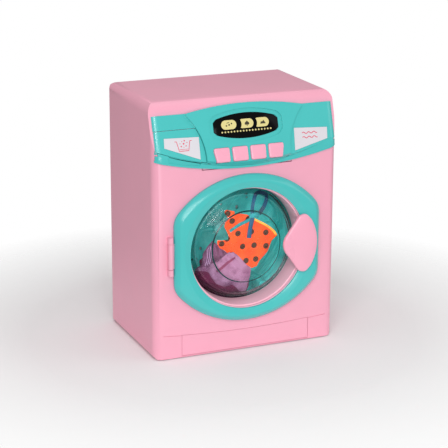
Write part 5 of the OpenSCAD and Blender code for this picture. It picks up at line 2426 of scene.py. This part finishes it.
@dataclass
class Studio:
    """Floor, lamps, world and camera.

    Attributes:
        target: Point that the camera looks at, in millimetres.
        azimuth: Direction of the camera from the front, in degrees.
        elevation: Height of the camera above the horizon, in degrees.
        roll: Turn about the line of sight, in degrees.
        distance: From the target to the camera, in millimetres.
        lens: Focal length for a 36 mm sensor.
        fill: Strength of the even light from all round.
    """

    target: Vector
    azimuth: float = -23.175
    elevation: float = 16.583
    roll: float = 0.258
    distance: float = 1550.54
    lens: float = 128.0
    fill: float = 0.4

    def place_camera(self) -> None:
        """Sets the camera at the viewing angle."""
        a, e = math.radians(self.azimuth), math.radians(self.elevation)
        back = Vector((math.sin(a) * math.cos(e), -math.cos(a) * math.cos(e), math.sin(e)))
        level = (-back).cross(Vector((0, 0, 1))).normalized()
        upright = level.cross(-back)
        r = math.radians(self.roll)
        right = level * math.cos(r) + upright * math.sin(r)
        up = upright * math.cos(r) - level * math.sin(r)
        lens = bpy.data.cameras.new("camera")
        lens.sensor_width = 36.0
        lens.lens = self.lens
        lens.clip_start, lens.clip_end = 0.05, 20.0
        camera = bpy.data.objects.new("camera", lens)
        turn = Matrix((right, up, back)).transposed().to_4x4()
        camera.matrix_world = Matrix.Translation((self.target + back * self.distance) * MM) @ turn
        bpy.context.scene.collection.objects.link(camera)
        bpy.context.scene.camera = camera

    def lamp(
        self,
        name: str,
        spot: Vector,
        size_mm: float,
        watts: float,
        tall: float = 1.0,
        lean: float = 0.0,
    ) -> None:
        """Adds a soft lamp that faces the machine.

        Args:
            name: Name of the lamp.
            spot: Its place, in millimetres.
            size_mm: Width of its panel.
            watts: Its power.
            tall: Height of its panel over its width.
            lean: Turn of the panel in its own plane, in degrees.
        """
        light = bpy.data.lights.new(name, "AREA")
        light.shape = "RECTANGLE"
        light.size = size_mm * MM
        light.size_y = size_mm * tall * MM
        light.energy = watts
        obj = bpy.data.objects.new(name, light)
        aim = (self.target - spot).to_track_quat("-Z", "Y").to_matrix().to_4x4()
        aim = aim @ Matrix.Rotation(math.radians(lean), 4, "Z")
        obj.matrix_world = Matrix.Translation(spot * MM) @ aim
        bpy.context.scene.collection.objects.link(obj)

    def place_world(self) -> None:
        """Gives the world an even light, white where the camera sees it."""
        world = bpy.data.worlds.new("soft_room")
        bpy.context.scene.world = world
        world.use_nodes = True
        tree = world.node_tree
        tree.nodes.clear()
        rays = add_node(tree, "ShaderNodeLightPath")
        seen = add_node(
            tree,
            "ShaderNodeMath",
            {0: rays.outputs["Is Camera Ray"], 1: rays.outputs["Is Transmission Ray"]},
            operation="MAXIMUM",
        )
        strength = add_node(
            tree,
            "ShaderNodeMapRange",
            {"Value": seen.outputs[0], "To Min": self.fill, "To Max": 1.0},
        )
        light = add_node(
            tree,
            "ShaderNodeBackground",
            {"Color": (1.0, 1.0, 1.0, 1.0), "Strength": strength.outputs[0]},
        )
        add_node(tree, "ShaderNodeOutputWorld", {"Surface": light.outputs[0]})

    def place_floor(self, finisher: Finisher) -> None:
        """Lays a pale floor under the machine.

        Args:
            finisher: Keeps the materials.
        """
        bm = bmesh.new()
        bmesh.ops.create_circle(bm, cap_ends=True, radius=450.0, segments=64)
        floor = new_object("floor", bm)
        floor.data.materials.append(finisher.material(Backing()))

    def build(self, finisher: Finisher) -> None:
        """Builds the whole studio.

        Args:
            finisher: Keeps the materials.
        """
        self.place_camera()
        self.place_world()
        self.place_floor(finisher)
        self.lamp("key_lamp", Vector((-560, -960, 760)), 600, 4.4)
        # narrow tube that draws the thin highlights along the window and the door ring
        self.lamp("strip_lamp", Vector((-500, -985, 700)), 24, 1.6, 34.0, -47.0)
        self.lamp("front_lamp", Vector((-180, -1300, 330)), 500, 3.7)
        self.lamp("side_lamp", Vector((900, -600, 500)), 700, 1.5)
        self.lamp("top_lamp", Vector((0, 100, 1100)), 800, 1.9)
        bpy.context.scene.view_settings.view_transform = "Standard"


def main() -> None:
    """Builds the studio and dresses every piece of the machine."""
    logging.basicConfig(level=logging.INFO, format="%(name)s: %(message)s")
    finisher = Finisher({})
    Studio(MACHINE_MIDDLE).build(finisher)
    for part in CARRIED:
        part.build(finisher)
    for assembly in (Door(), KeyRow(), Display(), Labels(), PanelTrim(), DollDress(), DollSkirt()):
        assembly.build(finisher)
    LOG.info("%d pieces finished", finisher.count)


if __name__ == "__main__":
    main()
